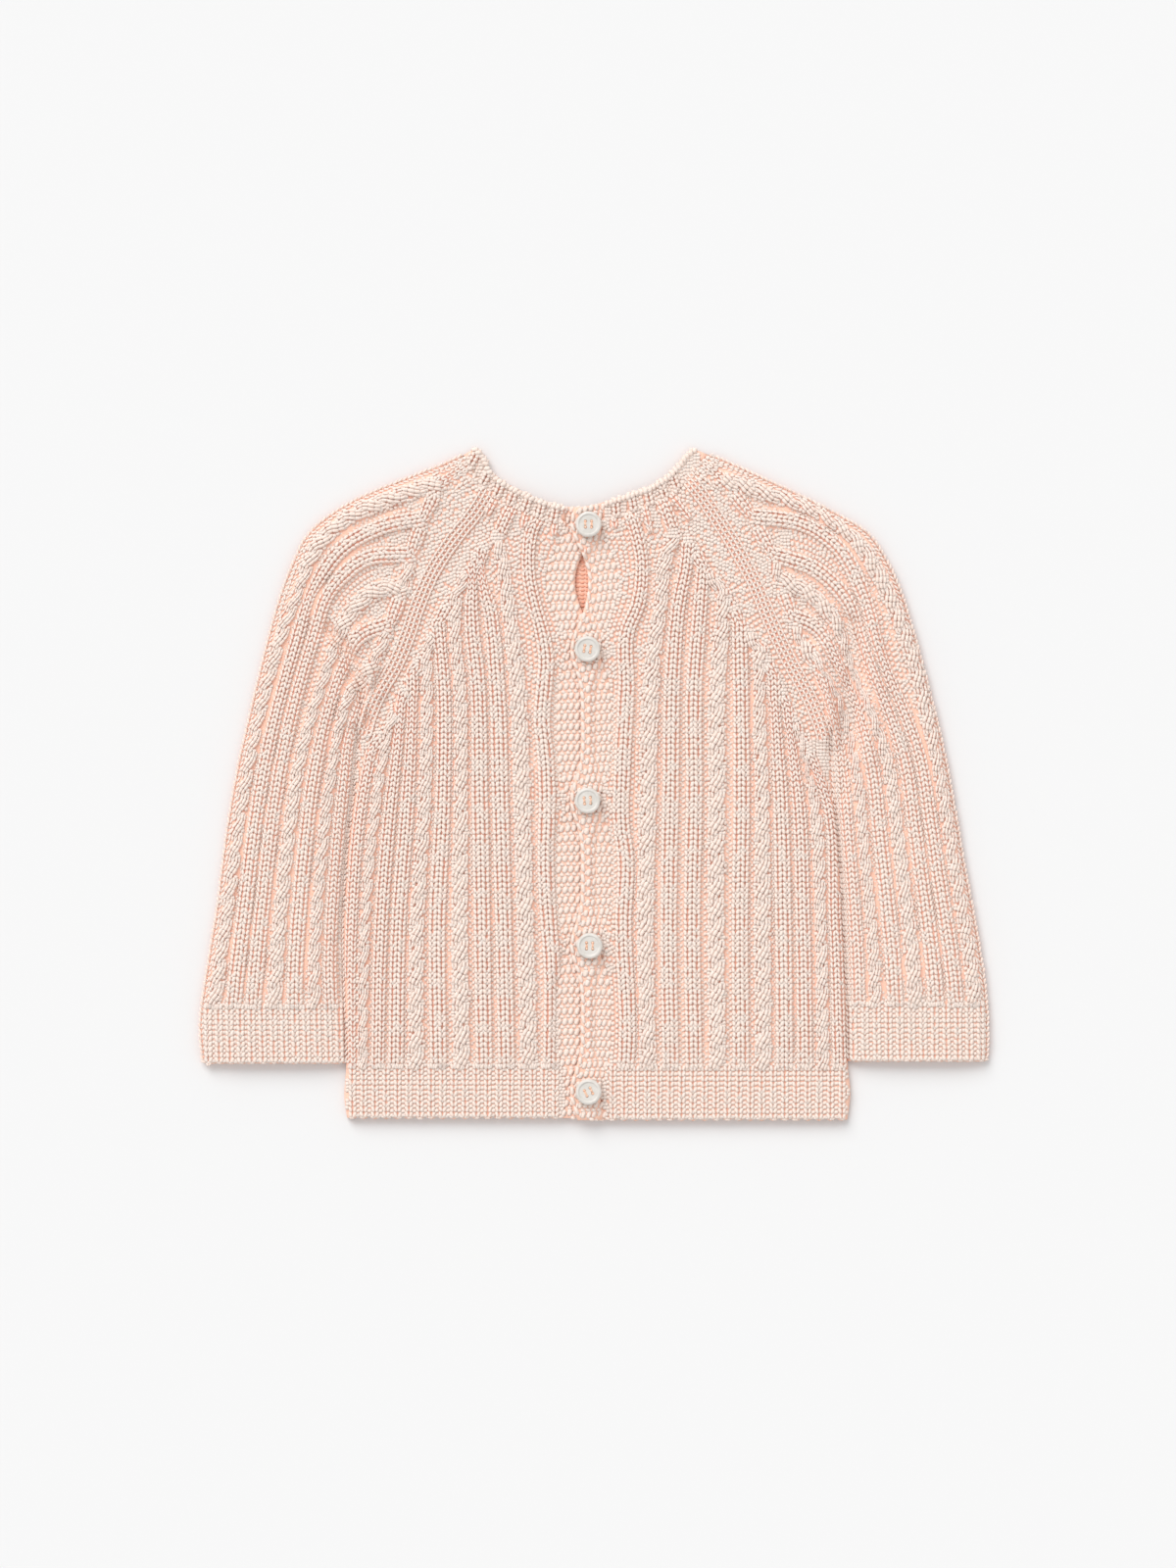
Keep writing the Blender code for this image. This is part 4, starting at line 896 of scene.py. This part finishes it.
def make_back(side):
    out = OUT[side]
    edge_x = under_band_left if side == "left" else over_band_right
    side_line = spaced(sides[side], 3.0)
    seam_line = spaced(seam(side, -JOIN / 2), 3.0)
    placket = upright(edge_x, out * JOIN, side_line[0][1], PAST_NECK)
    placket = cut_at(placket, below_neck(NECK_DEPTH + JOIN))[::-1]
    neck_line = neck_part(seam_line[0], placket[0], NECK_DEPTH + JOIN)
    hem_count = 4 * round(abs(placket[-1][0] - side_line[0][0]) / HEM_PITCH)
    hem = np.linspace(placket[-1], side_line[0], hem_count + 1)
    hem[1:-1, 1] += HEM_WAVE * np.cos(np.arange(1, hem_count) * math.pi / 2)
    outline = np.vstack([hem[:-1], side_line[:-1], seam_line[::-1][:-1], neck_line[:-1], placket[:-1]])

    ribs = rib_set(RIB_TABLE[side],
                   lambda path: RIB_HALF - 0.9 * ((path[:, 1] - 40.0) / 60.0).clip(0.0, 1.0))
    yoke = [Rib("plain", curve(knots, 1.25), half) for half, knots in YOKE_RIBS[side]]
    raglan = Rib("raglan", raglans[side][::-1], RAGLAN_HALF + 0.4)

    def ground(points, share=1.0):
        base = FRONT_WALL + SEAM_GAP + body_loft(points)
        relief = share * np.max([rib.relief(points) for rib in ribs + yoke + [raglan]], axis=0)
        fade = ((points[:, 1] - HEM_TOP) / HEM_FADE + 0.2).clip(0.0, 1.0)
        level = base + BACK_WALL - 0.5 + folds(points) + relief * fade
        level = eased(level, base + PLACKET_TOP[side], distance_to(points, placket), PLACKET_EASE)
        level = eased(level, SEAM_LEVEL, distance_to(points, seam_line), SEAM_EASE)
        level = eased(level, neck_level(points), distance_to(points, neck_line), NECK_EASE)
        return roll(distance_to(points, sides[side]), level, SIDE_TOP)

    def under(points):
        away = distance_to(points, sides[side])
        return np.where(away < RIM_WALL + 0.1, 0.0, FRONT_WALL + SEAM_GAP + body_loft(points))

    cloth = wall_of(f"back_{side}_cloth", outline, lambda p: ground(p, BACK_SHELL) - 0.08, under, 1.9,
                    shaded_ground_wool)
    reach = np.vstack([hem[:-1], shifted(side_line, out * 0.7)[:-1],
                       shifted(seam_line, out * 0.9)[::-1][:-1], neck_line[:-1], placket[:-1]])
    loops = Loops(sampled(ground, outline), reach, BACK_SEEDS[side])
    lay_ribs(loops, ribs + yoke)
    for one, other in zip(ribs, ribs[1:]):
        lay_gutters(loops, one, other, ribs)
    lay_gutters(loops, ribs[0], Rib("edge", placket[::-1], 0.2), yoke)
    lay_border(loops, raglans[side], -out, ribs + yoke)
    lay_cords(loops, raglan.path, RAGLAN_HALF, 3)
    lay_wales(loops, shifted(spaced(side_line, 1.25), -out * 0.5), 1.4, 1, lift=0.1)
    high = [(hem[i][0], HEM_TOP + 1.0) for i in (0, -1)]
    lay_ribbing(loops, hem[0], hem[-1], *high, hem_count // 4, 1.75)
    lay_cast_on(loops, hem)
    fill_bare(loops, keep=lambda spots: np.abs(spots[:, 1] - HEM_TOP) > 0.6)
    piece = build_loops(loops, f"back_{side}")


for side in ("left", "right"):
    make_back(side)

# ================================================================ sleeves
# Two sleeves, each knitted as one tube from the cuff up and pressed flat: ribs and ropes on a
# purl ground on top, plain underneath. Open at the cuff and at the armhole, where the raglan
# seam joins them to the body.
SLEEVE_WALL = 2.0
EDGE_TOP = 1.6          # the height of its folded outer edge
SLEEVE_LOFT = 1.3
SLEEVE_FLOOR = 1.7      # its lower layer, on the table
SLEEVE_SLOT = 0.8       # the air between the two layers
EDGE_UNDER = 0.9        # the folded edges lift off the table by this much
TUBE_WALL = 2.4         # the wall at the folded edges
CUFF_DEPTH = 27.0
CUFF_FADE = 12.0        # the ribs rise to their full height over this much above the cuff
CUFF_WAVE = 0.35
CUFF_POINTS = 54
SLEEVE_RIB_HALF = 3.7
SLEEVE_SHELL = 0.9      # the share of the relief that its shell has
SLEEVE_SEEDS = {"left": 21, "right": 22}
SLEEVE_STATIONS = (20.0, 55.0, 85.0, 115.0, 145.0)      # up the outer edge, where the lower ribs are placed
OUTER_EDGES = {
    "left": [(-183.5, -131.5), (-184.85, -112.5), (-182.6, -95.0), (-177.0, -60.0), (-171.5, -18.5),
             (-166.0, 12.0), (-159.5, 40.0), (-153.0, 67.0), (-143.5, 97.5), (-134.0, 117.0),
             (-117.5, 130.0), (-101.0, 138.0), (-84.5, 144.5), (-67.0, 151.5), (-55.0, 158.0)],
    "right": [(184.5, -130.5), (185.0, -115.5), (183.5, -95.0), (179.0, -66.0), (174.5, -42.0),
              (169.5, -13.0), (164.0, 16.5), (157.0, 45.0), (149.5, 72.5), (141.0, 97.5),
              (129.0, 117.0), (111.0, 128.0), (86.5, 140.0), (61.5, 151.5), (46.5, 157.5)],
}
# From the outer edge inwards: kind, share of the way across the lower sleeve, then the points
# that the rib passes up to the raglan, on the left sleeve and on the right.
SLEEVE_RIBS = [
    ("cable", 0.08, [(-147.4, 67.6), (-138.9, 89.6), (-130.9, 109.5), (-119.0, 122.5), (-98.0, 133.0),
                     (-72.0, 141.5)],
     [(144.7, 73.6), (133.6, 97.6), (121.5, 115.5), (103.4, 128.5), (73.9, 138.4), (61.0, 142.5)]),
    ("plain", 0.22, [(-139.9, 65.6), (-131.4, 91.6), (-117.9, 110.5), (-98.0, 121.0), (-80.0, 124.5)],
     [(132.8, 65.6), (126.8, 87.6), (113.8, 111.5), (98.9, 121.5), (73.9, 125.5)]),
    ("plain", 0.36, [(-132.4, 65.6), (-122.9, 91.6), (-107.0, 105.5), (-86.0, 107.5)],
     [(125.8, 65.6), (118.8, 85.6), (103.9, 100.5), (83.9, 107.5)]),
    ("cable", 0.51, [(-122.9, 59.7), (-117.0, 75.6), (-102.0, 90.6), (-89.5, 92.1)],
     [(119.8, 57.7), (112.8, 76.6), (98.9, 90.6), (86.9, 95.6)]),
    ("plain", 0.655, [(-117.0, 55.7), (-110.5, 68.6), (-95.5, 75.1)],
     [(113.8, 57.7), (103.9, 73.6), (92.9, 78.6)]),
    ("cable", 0.80, [(-113.0, 44.0), (-103.0, 56.8)], [(110.8, 47.7), (98.0, 64.6)]),
    ("plain", 0.92, [(-114.5, 22.0), (-109.5, 36.6)], [(115.0, 20.0), (106.5, 49.5)]),
]
# The two ribs that run on from the first rib's point to the neck, the wide one and the narrow one.
SHOULDER_RIBS = {
    "left": [[(-72.0, 141.0), (-63.0, 146.5), (-56.0, 152.0)],
             [(-64.0, 138.0), (-55.5, 143.5), (-52.0, 147.0)]],
    "right": [[(62.0, 142.0), (53.0, 149.0), (47.0, 153.5)],
              [(56.0, 139.0), (47.5, 145.5), (43.5, 149.5)]],
}
outers = {side: curve(knots, 3.0) for side, knots in OUTER_EDGES.items()}


def patch(low, high, start, end, us, vs):
    """Points over a four-sided region, between its low and high ends and its two long edges."""
    low, high, start, end = (point_at(line, share * along(line)[-1])
                             for line, share in ((low, vs), (high, vs), (start, us), (end, us)))
    u, v = us[:, None, None], vs[None, :, None]
    return ((1 - v) * start[:, None] + v * end[:, None] + (1 - u) * low[None] + u * high[None]
            - (1 - u) * ((1 - v) * low[0] + v * low[-1]) - u * ((1 - v) * high[0] + v * high[-1]))


def tube_of(name, plan, levels, inner_plan, inner_levels, material):
    """A flattened tube with a wall, open at both ends. Each plan is a grid, from end to end."""
    rows, columns = plan.shape[:2]

    def ring_points(grid, top, bottom):
        over = np.dstack([grid, top(grid.reshape(-1, 2)).reshape(grid.shape[:2])])
        below = np.dstack([grid, bottom(grid.reshape(-1, 2)).reshape(grid.shape[:2])])
        return np.concatenate([over, below[:, ::-1]], axis=1)

    outer = ring_points(plan, *levels)
    inner = ring_points(inner_plan, *inner_levels)
    ring = 2 * columns
    points = np.vstack([outer.reshape(-1, 3), inner.reshape(-1, 3)])
    at = lambda layer, row, column: layer * rows * ring + row * ring + column % ring
    faces = []
    for row in range(rows - 1):
        for column in range(ring):
            quad = [(row, column), (row, column + 1), (row + 1, column + 1), (row + 1, column)]
            faces.append([at(0, *spot) for spot in quad])
            faces.append([at(1, *spot) for spot in reversed(quad)])
    for column in range(ring):
        for row, turn in ((0, 1), (rows - 1, -1)):
            faces.append([at(0, row, column), at(1, row, column), at(1, row, column + 1),
                          at(0, row, column + 1)][::turn])
    a, b, c = (points[i] for i in faces[0][:3])
    if np.cross(b - a, c - a)[2] < 0:
        faces = [face[::-1] for face in faces]
    return mesh_piece(name, points, faces, material)


def make_sleeve(side):
    out = OUT[side]
    outer = cut_at(outers[side], below_neck(NECK_DEPTH + JOIN))
    cuff_y = outer[0][1]
    seam_line = seam(side, JOIN / 2)
    inner = shifted(sides[side], -out * 0.1)
    inner = np.vstack([(inner[inner[:, 1] > cuff_y][0][0], cuff_y),
                       inner[inner[:, 1] > cuff_y + 1.0][:-1], seam_line[-1]])
    neck_line = neck_part(outer[-1], seam_line[0], NECK_DEPTH + JOIN)
    hole = np.vstack([neck_line[:-1], seam_line])
    cuff = np.linspace(outer[0], inner[0], CUFF_POINTS)
    cuff[1:-1, 1] += CUFF_WAVE * np.cos(np.arange(1, CUFF_POINTS - 1) * math.pi / 2)
    outline = np.vstack([outer[:-1], hole[:-1], inner[::-1][:-1], cuff[::-1][:-1]])
    widths, level = distance_to(outer, inner), along(outer)
    stations = [np.abs(level - distance).argmin() for distance in SLEEVE_STATIONS]
    table = []
    for kind, share, *points in SLEEVE_RIBS:
        lower = shifted(outer, out * share * widths)[stations]
        table.append((kind, [tuple(point) for point in lower] + points[0 if side == "left" else 1]))
    ribs = rib_set(table, lambda path: np.full(len(path), SLEEVE_RIB_HALF), bend_from=0)
    high = [point_at(line, CUFF_DEPTH) for line in (outer, inner)]

    def above_cuff(points):
        run = (high[1] - high[0]) / np.linalg.norm(high[1] - high[0])
        gap = points - high[0]
        return -out * (gap[:, 1] * run[0] - gap[:, 0] * run[1])

    for rib in ribs:
        shown = above_cuff(rib.path) > -0.6
        rib.path, rib.half = rib.path[shown], rib.half[shown]

    def away(points):
        return np.minimum(distance_to(points, outer), distance_to(points, inner))

    def ceiling(points):
        across = ((away(points) - TUBE_WALL) / 14.0).clip(0.0, 1.0)
        near_seam = (distance_to(points, seam_line) / 30.0).clip(0.0, 1.0)
        return SLEEVE_FLOOR + SLEEVE_SLOT + SLEEVE_LOFT * across * (0.4 + 0.6 * near_seam)

    def ground(points, share=1.0):
        relief = share * np.max([rib.relief(points) for rib in ribs], axis=0)
        above = (above_cuff(points) / CUFF_FADE + 0.2).clip(0.0, 1.0)
        level = ceiling(points) + SLEEVE_WALL - 0.2 + folds(points) + relief * above
        level = eased(level, SEAM_LEVEL, distance_to(points, seam_line), SEAM_EASE)
        level = eased(level, neck_level(points), distance_to(points, neck_line), NECK_EASE)
        level = np.maximum(level, ceiling(points) + 0.4)
        level = roll(distance_to(points, outer), level, EDGE_TOP - 0.1)
        return roll(distance_to(points, inner), level, SIDE_TOP)

    def under(points):
        return EDGE_UNDER * (1.0 - away(points) / 1.6).clip(0.0)

    us, vs = np.linspace(0.0, 1.0, 134), np.linspace(0.0, 1.0, 40)
    vs = 0.6 * vs + 0.4 * (0.5 - 0.5 * np.cos(math.pi * vs))        # closer at the two edges
    plan = patch(cuff, hole, outer, inner, us, vs)
    spans = np.linalg.norm(plan[:, -1] - plan[:, 0], axis=1)
    share = (TUBE_WALL / spans).clip(0.0, 0.3)[:, None, None]
    hollow = plan * (1.0 - 2.0 * share) + share * (plan[:, :1] + plan[:, -1:])
    cloth = tube_of(f"sleeve_{side}_cloth", plan, (lambda p: ground(p, SLEEVE_SHELL) - 0.05, under),
                    hollow, (ceiling, lambda p: np.full(len(p), SLEEVE_FLOOR)), shaded_ground_wool)

    reach = np.vstack([shifted(outer, -out * 0.7)[:-1], hole[:-1],
                       shifted(inner[::-1], -out * 0.6)[:-1], cuff[::-1][:-1]])
    loops = Loops(sampled(ground, outline), reach, SLEEVE_SEEDS[side])
    lay_ribs(loops, ribs)
    for one, other in zip(ribs, ribs[1:]):
        lay_gutters(loops, one, other, ribs)
    lay_gutters(loops, ribs[-1], Rib("edge", inner, 0.2))
    lay_border(loops, raglans[side], out, ribs)
    clear = lambda spots: ~claimed(ribs, 0.5)(spots)
    for line, inset, half, keep in ((outer, 2.6, 1.3, clear), (outer, 0.5, 1.4, None),
                                    (inner, -0.5, 1.3, None)):
        lay_wales(loops, spaced(shifted(line, out * inset), 1.25), half, 1, lift=0.1, keep=keep)
    for line, half, columns in zip(SHOULDER_RIBS[side], (2.3, 1.6), (2, 1)):
        lay_wales(loops, curve(line, 1.25), half, columns)
    count = round(np.linalg.norm(cuff[-1] - cuff[0]) / HEM_PITCH)
    above = [point_at(line, CUFF_DEPTH + 0.9) for line in (outer, inner)]
    lay_ribbing(loops, cuff[0], cuff[-1], *above, count, 2.0)
    lay_cast_on(loops, cuff)
    fill_bare(loops, keep=lambda spots: np.abs(above_cuff(spots)) > 0.6)
    piece = build_loops(loops, f"sleeve_{side}")


for side in ("left", "right"):
    make_sleeve(side)

# ================================================================ button bands
# Two bands of garter stitch, picked up along the edges of the back and bound off: the left
# half's lies under the right half's. The upper one has a slipped chain along its free edge.
BAND_WIDTH = 13.8
UNDER_BAND_WALL = 0.75
OVER_BAND_WALL = 0.95
GARTER_PITCH = 4.85     # one ridge, which is two rows
GARTER_STITCH = 2.75
OVER_STEP = 2.1         # the upper band lies this much higher, on the lower one
BAND_SEEDS = {"left": 31, "right": 32}


def under_band_right(y):
    return under_band_left(y) + BAND_WIDTH - 0.6 * swell(y, [KEYHOLE_Y], KEYHOLE_REACH)


def over_band_left(y):
    return over_band_right(y) - BAND_WIDTH


def under_band_base(points):
    return FRONT_WALL + SEAM_GAP + body_loft(points)


def over_band_base(points):
    past = (points[:, 0] - under_band_right(points[:, 1]) - 0.9) / 3.0
    return under_band_base(points) + OVER_STEP * (1.0 - past.clip(0.0, 1.0))


def lay_garter(loops, left, right, lift):
    """Ridges of garter stitch across a band, each a row of short loops that lean in pairs."""
    count = round(along(left)[-1] / GARTER_PITCH)
    for i in range(count):
        start, end = (point_at(path, (i + 0.5) / count * along(path)[-1]) for path in (left, right))
        length = np.linalg.norm(end - start)
        across = (end - start) / length
        upwards = np.array([-across[1], across[0]])
        stitches = max(3, round(length / GARTER_STITCH))
        shares = (np.arange(stitches) + 0.5) / stitches
        arch = 0.5 * np.sin(math.pi * shares)
        centre = start + shares[:, None] * (end - start) + arch[:, None] * upwards
        width = length / stitches
        way = np.tile(upwards * math.cos(0.42) + across * math.sin(0.42), (stitches, 1))
        loops.add(centre, way, (2.05, 0.47 * width, 0.5), lift)
        low = centre - 0.5 * GARTER_PITCH * upwards + 0.5 * width * across
        way = np.tile(across * math.cos(0.3) - upwards * math.sin(0.3), (stitches - 1, 1))
        loops.add(low[:-1], way, (1.3, 0.95, 0.45), lift - 0.1)


def make_band(side, left_x, right_x, hem_y, base, wall):
    left, right = (cut_at(upright(x, 0.0, hem_y, PAST_NECK), neck_edge) for x in (left_x, right_x))
    between = neck_edge[(neck_edge[:, 0] > left[-1][0] + 1.0) & (neck_edge[:, 0] < right[-1][0] - 1.0)]
    outline = np.vstack([left[::-1], right, spaced(between[::-1], 3.0)])
    top = lambda p: base(p) + wall
    cloth = wall_of(f"band_{side}_cloth", outline, top, base, 2.4, shaded_ground_wool)
    reach = outline.copy()
    if side == "left":
        reach[:len(left), 0] -= 1.3         # the picked-up edge, where the loops run on to the back
    else:
        reach[len(left):, 0] += 1.3
    loops = Loops(top, reach, BAND_SEEDS[side], edge=0.2)
    ridge_ends = (2.3, 0.9) if side == "right" else (-0.9, -0.2)
    lay_garter(loops, left + (ridge_ends[0], 0.0), right + (ridge_ends[1], 0.0), 0.12)
    if side == "right":
        edge = spaced(left + (1.0, 0.0), GARTER_PITCH)
        heading, across = headings(edge)
        loops.add(edge, heading * 0.98 + across * 0.17, (2.45, 0.95, 0.7), 0.25)
        links = edge[:-1] + 0.5 * np.diff(edge, axis=0) + (1.2, 0.0)
        loops.add(links, heading[:-1] * 0.9 - across[:-1] * 0.4, (1.3, 0.6, 0.5), 0.15)
    piece = build_loops(loops, f"band_{side}")


make_band("left", under_band_left, under_band_right, LEFT_SIDE[0][1], under_band_base, UNDER_BAND_WALL)
make_band("right", over_band_left, over_band_right, RIGHT_SIDE[0][1], over_band_base, OVER_BAND_WALL)

# ================================================================ neck ribbing
# Half of it on each side of the placket: stitches picked up along the neck, a few rows of
# ribbing, and a thick bound-off chain that makes the edge.
NECK_SEEDS = {"left": 41, "right": 42}
# The place across the neck edge at which each knit column ends.
NECK_HEADS = {"left": [-48.7, -42.7, -36.6, -30.0, -23.8, -17.6, -12.2],
              "right": [36.2, 31.0, 24.6, 17.2, 9.8]}


def make_neckband(side):
    out = OUT[side]
    edge_x = under_band_left if side == "left" else over_band_right
    end_line = upright(edge_x, out * JOIN, 100.0, PAST_NECK)
    low_line = below_neck(NECK_DEPTH)
    high_start, low_start = cut_at(end_line, neck_edge)[-1], cut_at(end_line, low_line)[-1]
    outer = outers[side]
    low_end = cut_at(outer, low_line)[-1]
    beyond = out * (neck_edge[:, 0] - high_start[0]) > 1.0
    rest = neck_edge[beyond] if side == "right" else neck_edge[beyond][::-1]
    high = np.vstack([high_start, spaced(rest, 3.0)])
    low = neck_part(low_start, low_end, NECK_DEPTH)
    outline = np.vstack([low, high[::-1]])

    heads = []
    for x in NECK_HEADS[side] + [52.5 * out - 1.5]:
        start = np.array([x, np.interp(x, neck_edge[:, 0], neck_edge[:, 1])])
        lean = 0.0105 * x                   # the columns spread from the neck like rays
        way = np.array([lean, -1.0]) / math.hypot(lean, 1.0)
        heads.append(np.array([start + 9.5 * way, start + 1.8 * way]))

    def top(points, share=1.0):
        away = np.min([distance_to(points, head) for head in heads], axis=0)
        relief = 0.9 * share * np.sqrt((1.0 - (away / 2.4) ** 2).clip(0.0))
        return roll(distance_to(points, outer), neck_level(points) + relief - 0.3, EDGE_TOP)

    cloth = wall_of(f"neckband_{side}_cloth", outline, lambda p: top(p, 0.3), neck_base, 2.2, shaded_ground_wool)
    lower = below_neck(NECK_DEPTH + 1.6)
    lower = lower[(out * lower[:, 0] > out * low_start[0])
                  & (out * lower[:, 0] < out * high[-1][0] + 7.5)]
    past = high[-1] + 0.9 * (high[-1] - high[-2]) / np.linalg.norm(high[-1] - high[-2])
    reach = np.vstack([lower if side == "right" else lower[::-1], past, high[::-1]])
    loops = Loops(top, reach, NECK_SEEDS[side], edge=0.0)
    for head in heads:
        lay_wales(loops, spaced(head, 1.0), 1.9, 1, lift=0.4, row=2.1)
    fill_bare(loops, room=1.4)
    rolled = spaced(shifted(high, -out * 1.35), 2.2)
    heading, across = headings(rolled)
    loops.add(rolled, across * 0.8 + heading * 0.6, (1.7, 1.25, 0.9), 0.45)
    piece = build_loops(loops, f"neckband_{side}")


for side in ("left", "right"):
    make_neckband(side)

# ================================================================ buttons
# Five turned buttons of a pearl-like resin with four holes, softly polished, each sewn to the
# upper band with two upright stitches of the pink yarn.
BUTTON_HOLES = 2.9      # between the middles of two holes


def pearl():
    material = bpy.data.materials.new("pearl_resin")
    material.use_nodes = True
    nodes, link = material.node_tree.nodes, material.node_tree.links.new
    shader = nodes["Principled BSDF"]
    place = nodes.new("ShaderNodeTexCoord").outputs["Object"]
    clouds = nodes.new("ShaderNodeTexNoise")
    clouds.inputs["Scale"].default_value = 260.0
    clouds.inputs["Detail"].default_value = 3.0
    clouds.inputs["Distortion"].default_value = 0.8
    link(place, clouds.inputs["Vector"])
    ramp = nodes.new("ShaderNodeValToRGB")
    ramp.color_ramp.elements[0].position, ramp.color_ramp.elements[1].position = 0.35, 0.68
    ramp.color_ramp.elements[0].color = (0.62, 0.59, 0.545, 1.0)
    ramp.color_ramp.elements[1].color = (0.72, 0.685, 0.64, 1.0)
    link(clouds.outputs["Fac"], ramp.inputs["Fac"])
    link(ramp.outputs["Color"], shader.inputs["Base Color"])
    scratch = nodes.new("ShaderNodeTexNoise")
    scratch.inputs["Scale"].default_value = 1500.0
    link(place, scratch.inputs["Vector"])
    wear = nodes.new("ShaderNodeMapRange")
    wear.inputs["To Min"].default_value, wear.inputs["To Max"].default_value = 0.28, 0.42
    link(scratch.outputs["Fac"], wear.inputs["Value"])
    link(wear.outputs["Result"], shader.inputs["Roughness"])
    shader.inputs["Coat Weight"].default_value = 0.25
    return material


pearl_resin = pearl()
THREAD_SEED = 50
# The pink yarn of the thread, coloured deeper salmon as painted shade for the holes it lies in; the plies
# between them share it.
thread_wool = wool("thread_wool", (0.95, 0.66, 0.50), (0.92, 0.50, 0.34), (0.86, 0.36, 0.22))
for number, (x, y, degrees) in enumerate(BUTTONS, 1):
    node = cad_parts[f"button_{number}"]
    for slot in node.material_slots:
        slot.material = pearl_resin
    low, high = (np.array(corner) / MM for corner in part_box(f"button_{number}"))
    around = np.array([(low[0], low[1]), (high[0], low[1]), (high[0], high[1]), (low[0], high[1])])
    thread = Loops(lambda p, top=high[2]: np.full(len(p), top), around, THREAD_SEED + number)
    turn = math.radians(degrees)
    across = np.array([math.cos(turn), math.sin(turn)])
    upwards = np.array([-math.sin(turn), math.cos(turn)])
    centre = np.array([x, y])
    for hand in (-1.0, 1.0):
        spots = np.array([centre + across * hand * BUTTON_HOLES / 2 + upwards * rise * BUTTON_HOLES / 2
                          for rise in (-1.0, 1.0)])
        # the thread down each hole, in the deeper salmon of painted shade
        thread.add(spots, np.tile(upwards, (2, 1)), (0.78, 0.78, 0.7), -0.95)
        for ply in (-0.24, 0.24):
            thread.add(spots.mean(axis=0)[None] + ply * across, upwards[None], (1.05, 0.3, 0.3), -0.5)
    piece = thread.build(f"button_{number}_thread", thread_wool)

# ================================================================ floor, light and camera
# A plain pale table, soft light from the upper left and a camera straight above, as the
# photograph was taken.
FLOOR_HALF = 3.0        # metres, as all of this section is
FLOOR_DROP = 0.0005
FLOOR_GREY = 0.768
LENS = 100.0            # millimetres
SENSOR = 36.0
VIEW_LENGTH = 0.736     # the photograph's long side: 1600 pixels of 0.46 mm
VIEW_MIDDLE = (-0.00276, -0.00023)
MID_HEIGHT = 0.005      # the height at which that scale holds
floor_mesh = bpy.data.meshes.new("floor")
floor_corners = [(x * FLOOR_HALF, y * FLOOR_HALF, -FLOOR_DROP)
                 for x, y in ((-1, -1), (1, -1), (1, 1), (-1, 1))]
floor_mesh.from_pydata(floor_corners, [], [(0, 1, 2, 3)])
floor = bpy.data.objects.new("floor", floor_mesh)
bpy.context.scene.collection.objects.link(floor)
table_top = bpy.data.materials.new("table_top")
table_top.use_nodes = True
table_shader = table_top.node_tree.nodes["Principled BSDF"]
table_shader.inputs["Base Color"].default_value = (FLOOR_GREY, FLOOR_GREY, FLOOR_GREY, 1.0)
table_shader.inputs["Roughness"].default_value = 0.9
floor_mesh.materials.append(table_top)

world = bpy.data.worlds.new("studio")
bpy.context.scene.world = world
world.use_nodes = True
world.node_tree.nodes["Background"].inputs["Color"].default_value = (1.0, 1.0, 1.0, 1.0)
world.node_tree.nodes["Background"].inputs["Strength"].default_value = 0.80
key_light = bpy.data.lights.new("key", "SUN")
key_light.energy = 2.0
key_light.angle = math.radians(42.0)
key = bpy.data.objects.new("key", key_light)
bpy.context.scene.collection.objects.link(key)
key.rotation_euler = Vector((-0.44, 0.80, 0.80)).to_track_quat("Z", "Y").to_euler()
bpy.context.scene.view_settings.view_transform = "Standard"

camera_data = bpy.data.cameras.new("camera")
camera_data.lens = LENS
camera = bpy.data.objects.new("camera", camera_data)
bpy.context.scene.collection.objects.link(camera)
camera.location = (*VIEW_MIDDLE, VIEW_LENGTH * LENS / SENSOR + MID_HEIGHT)
bpy.context.scene.camera = camera
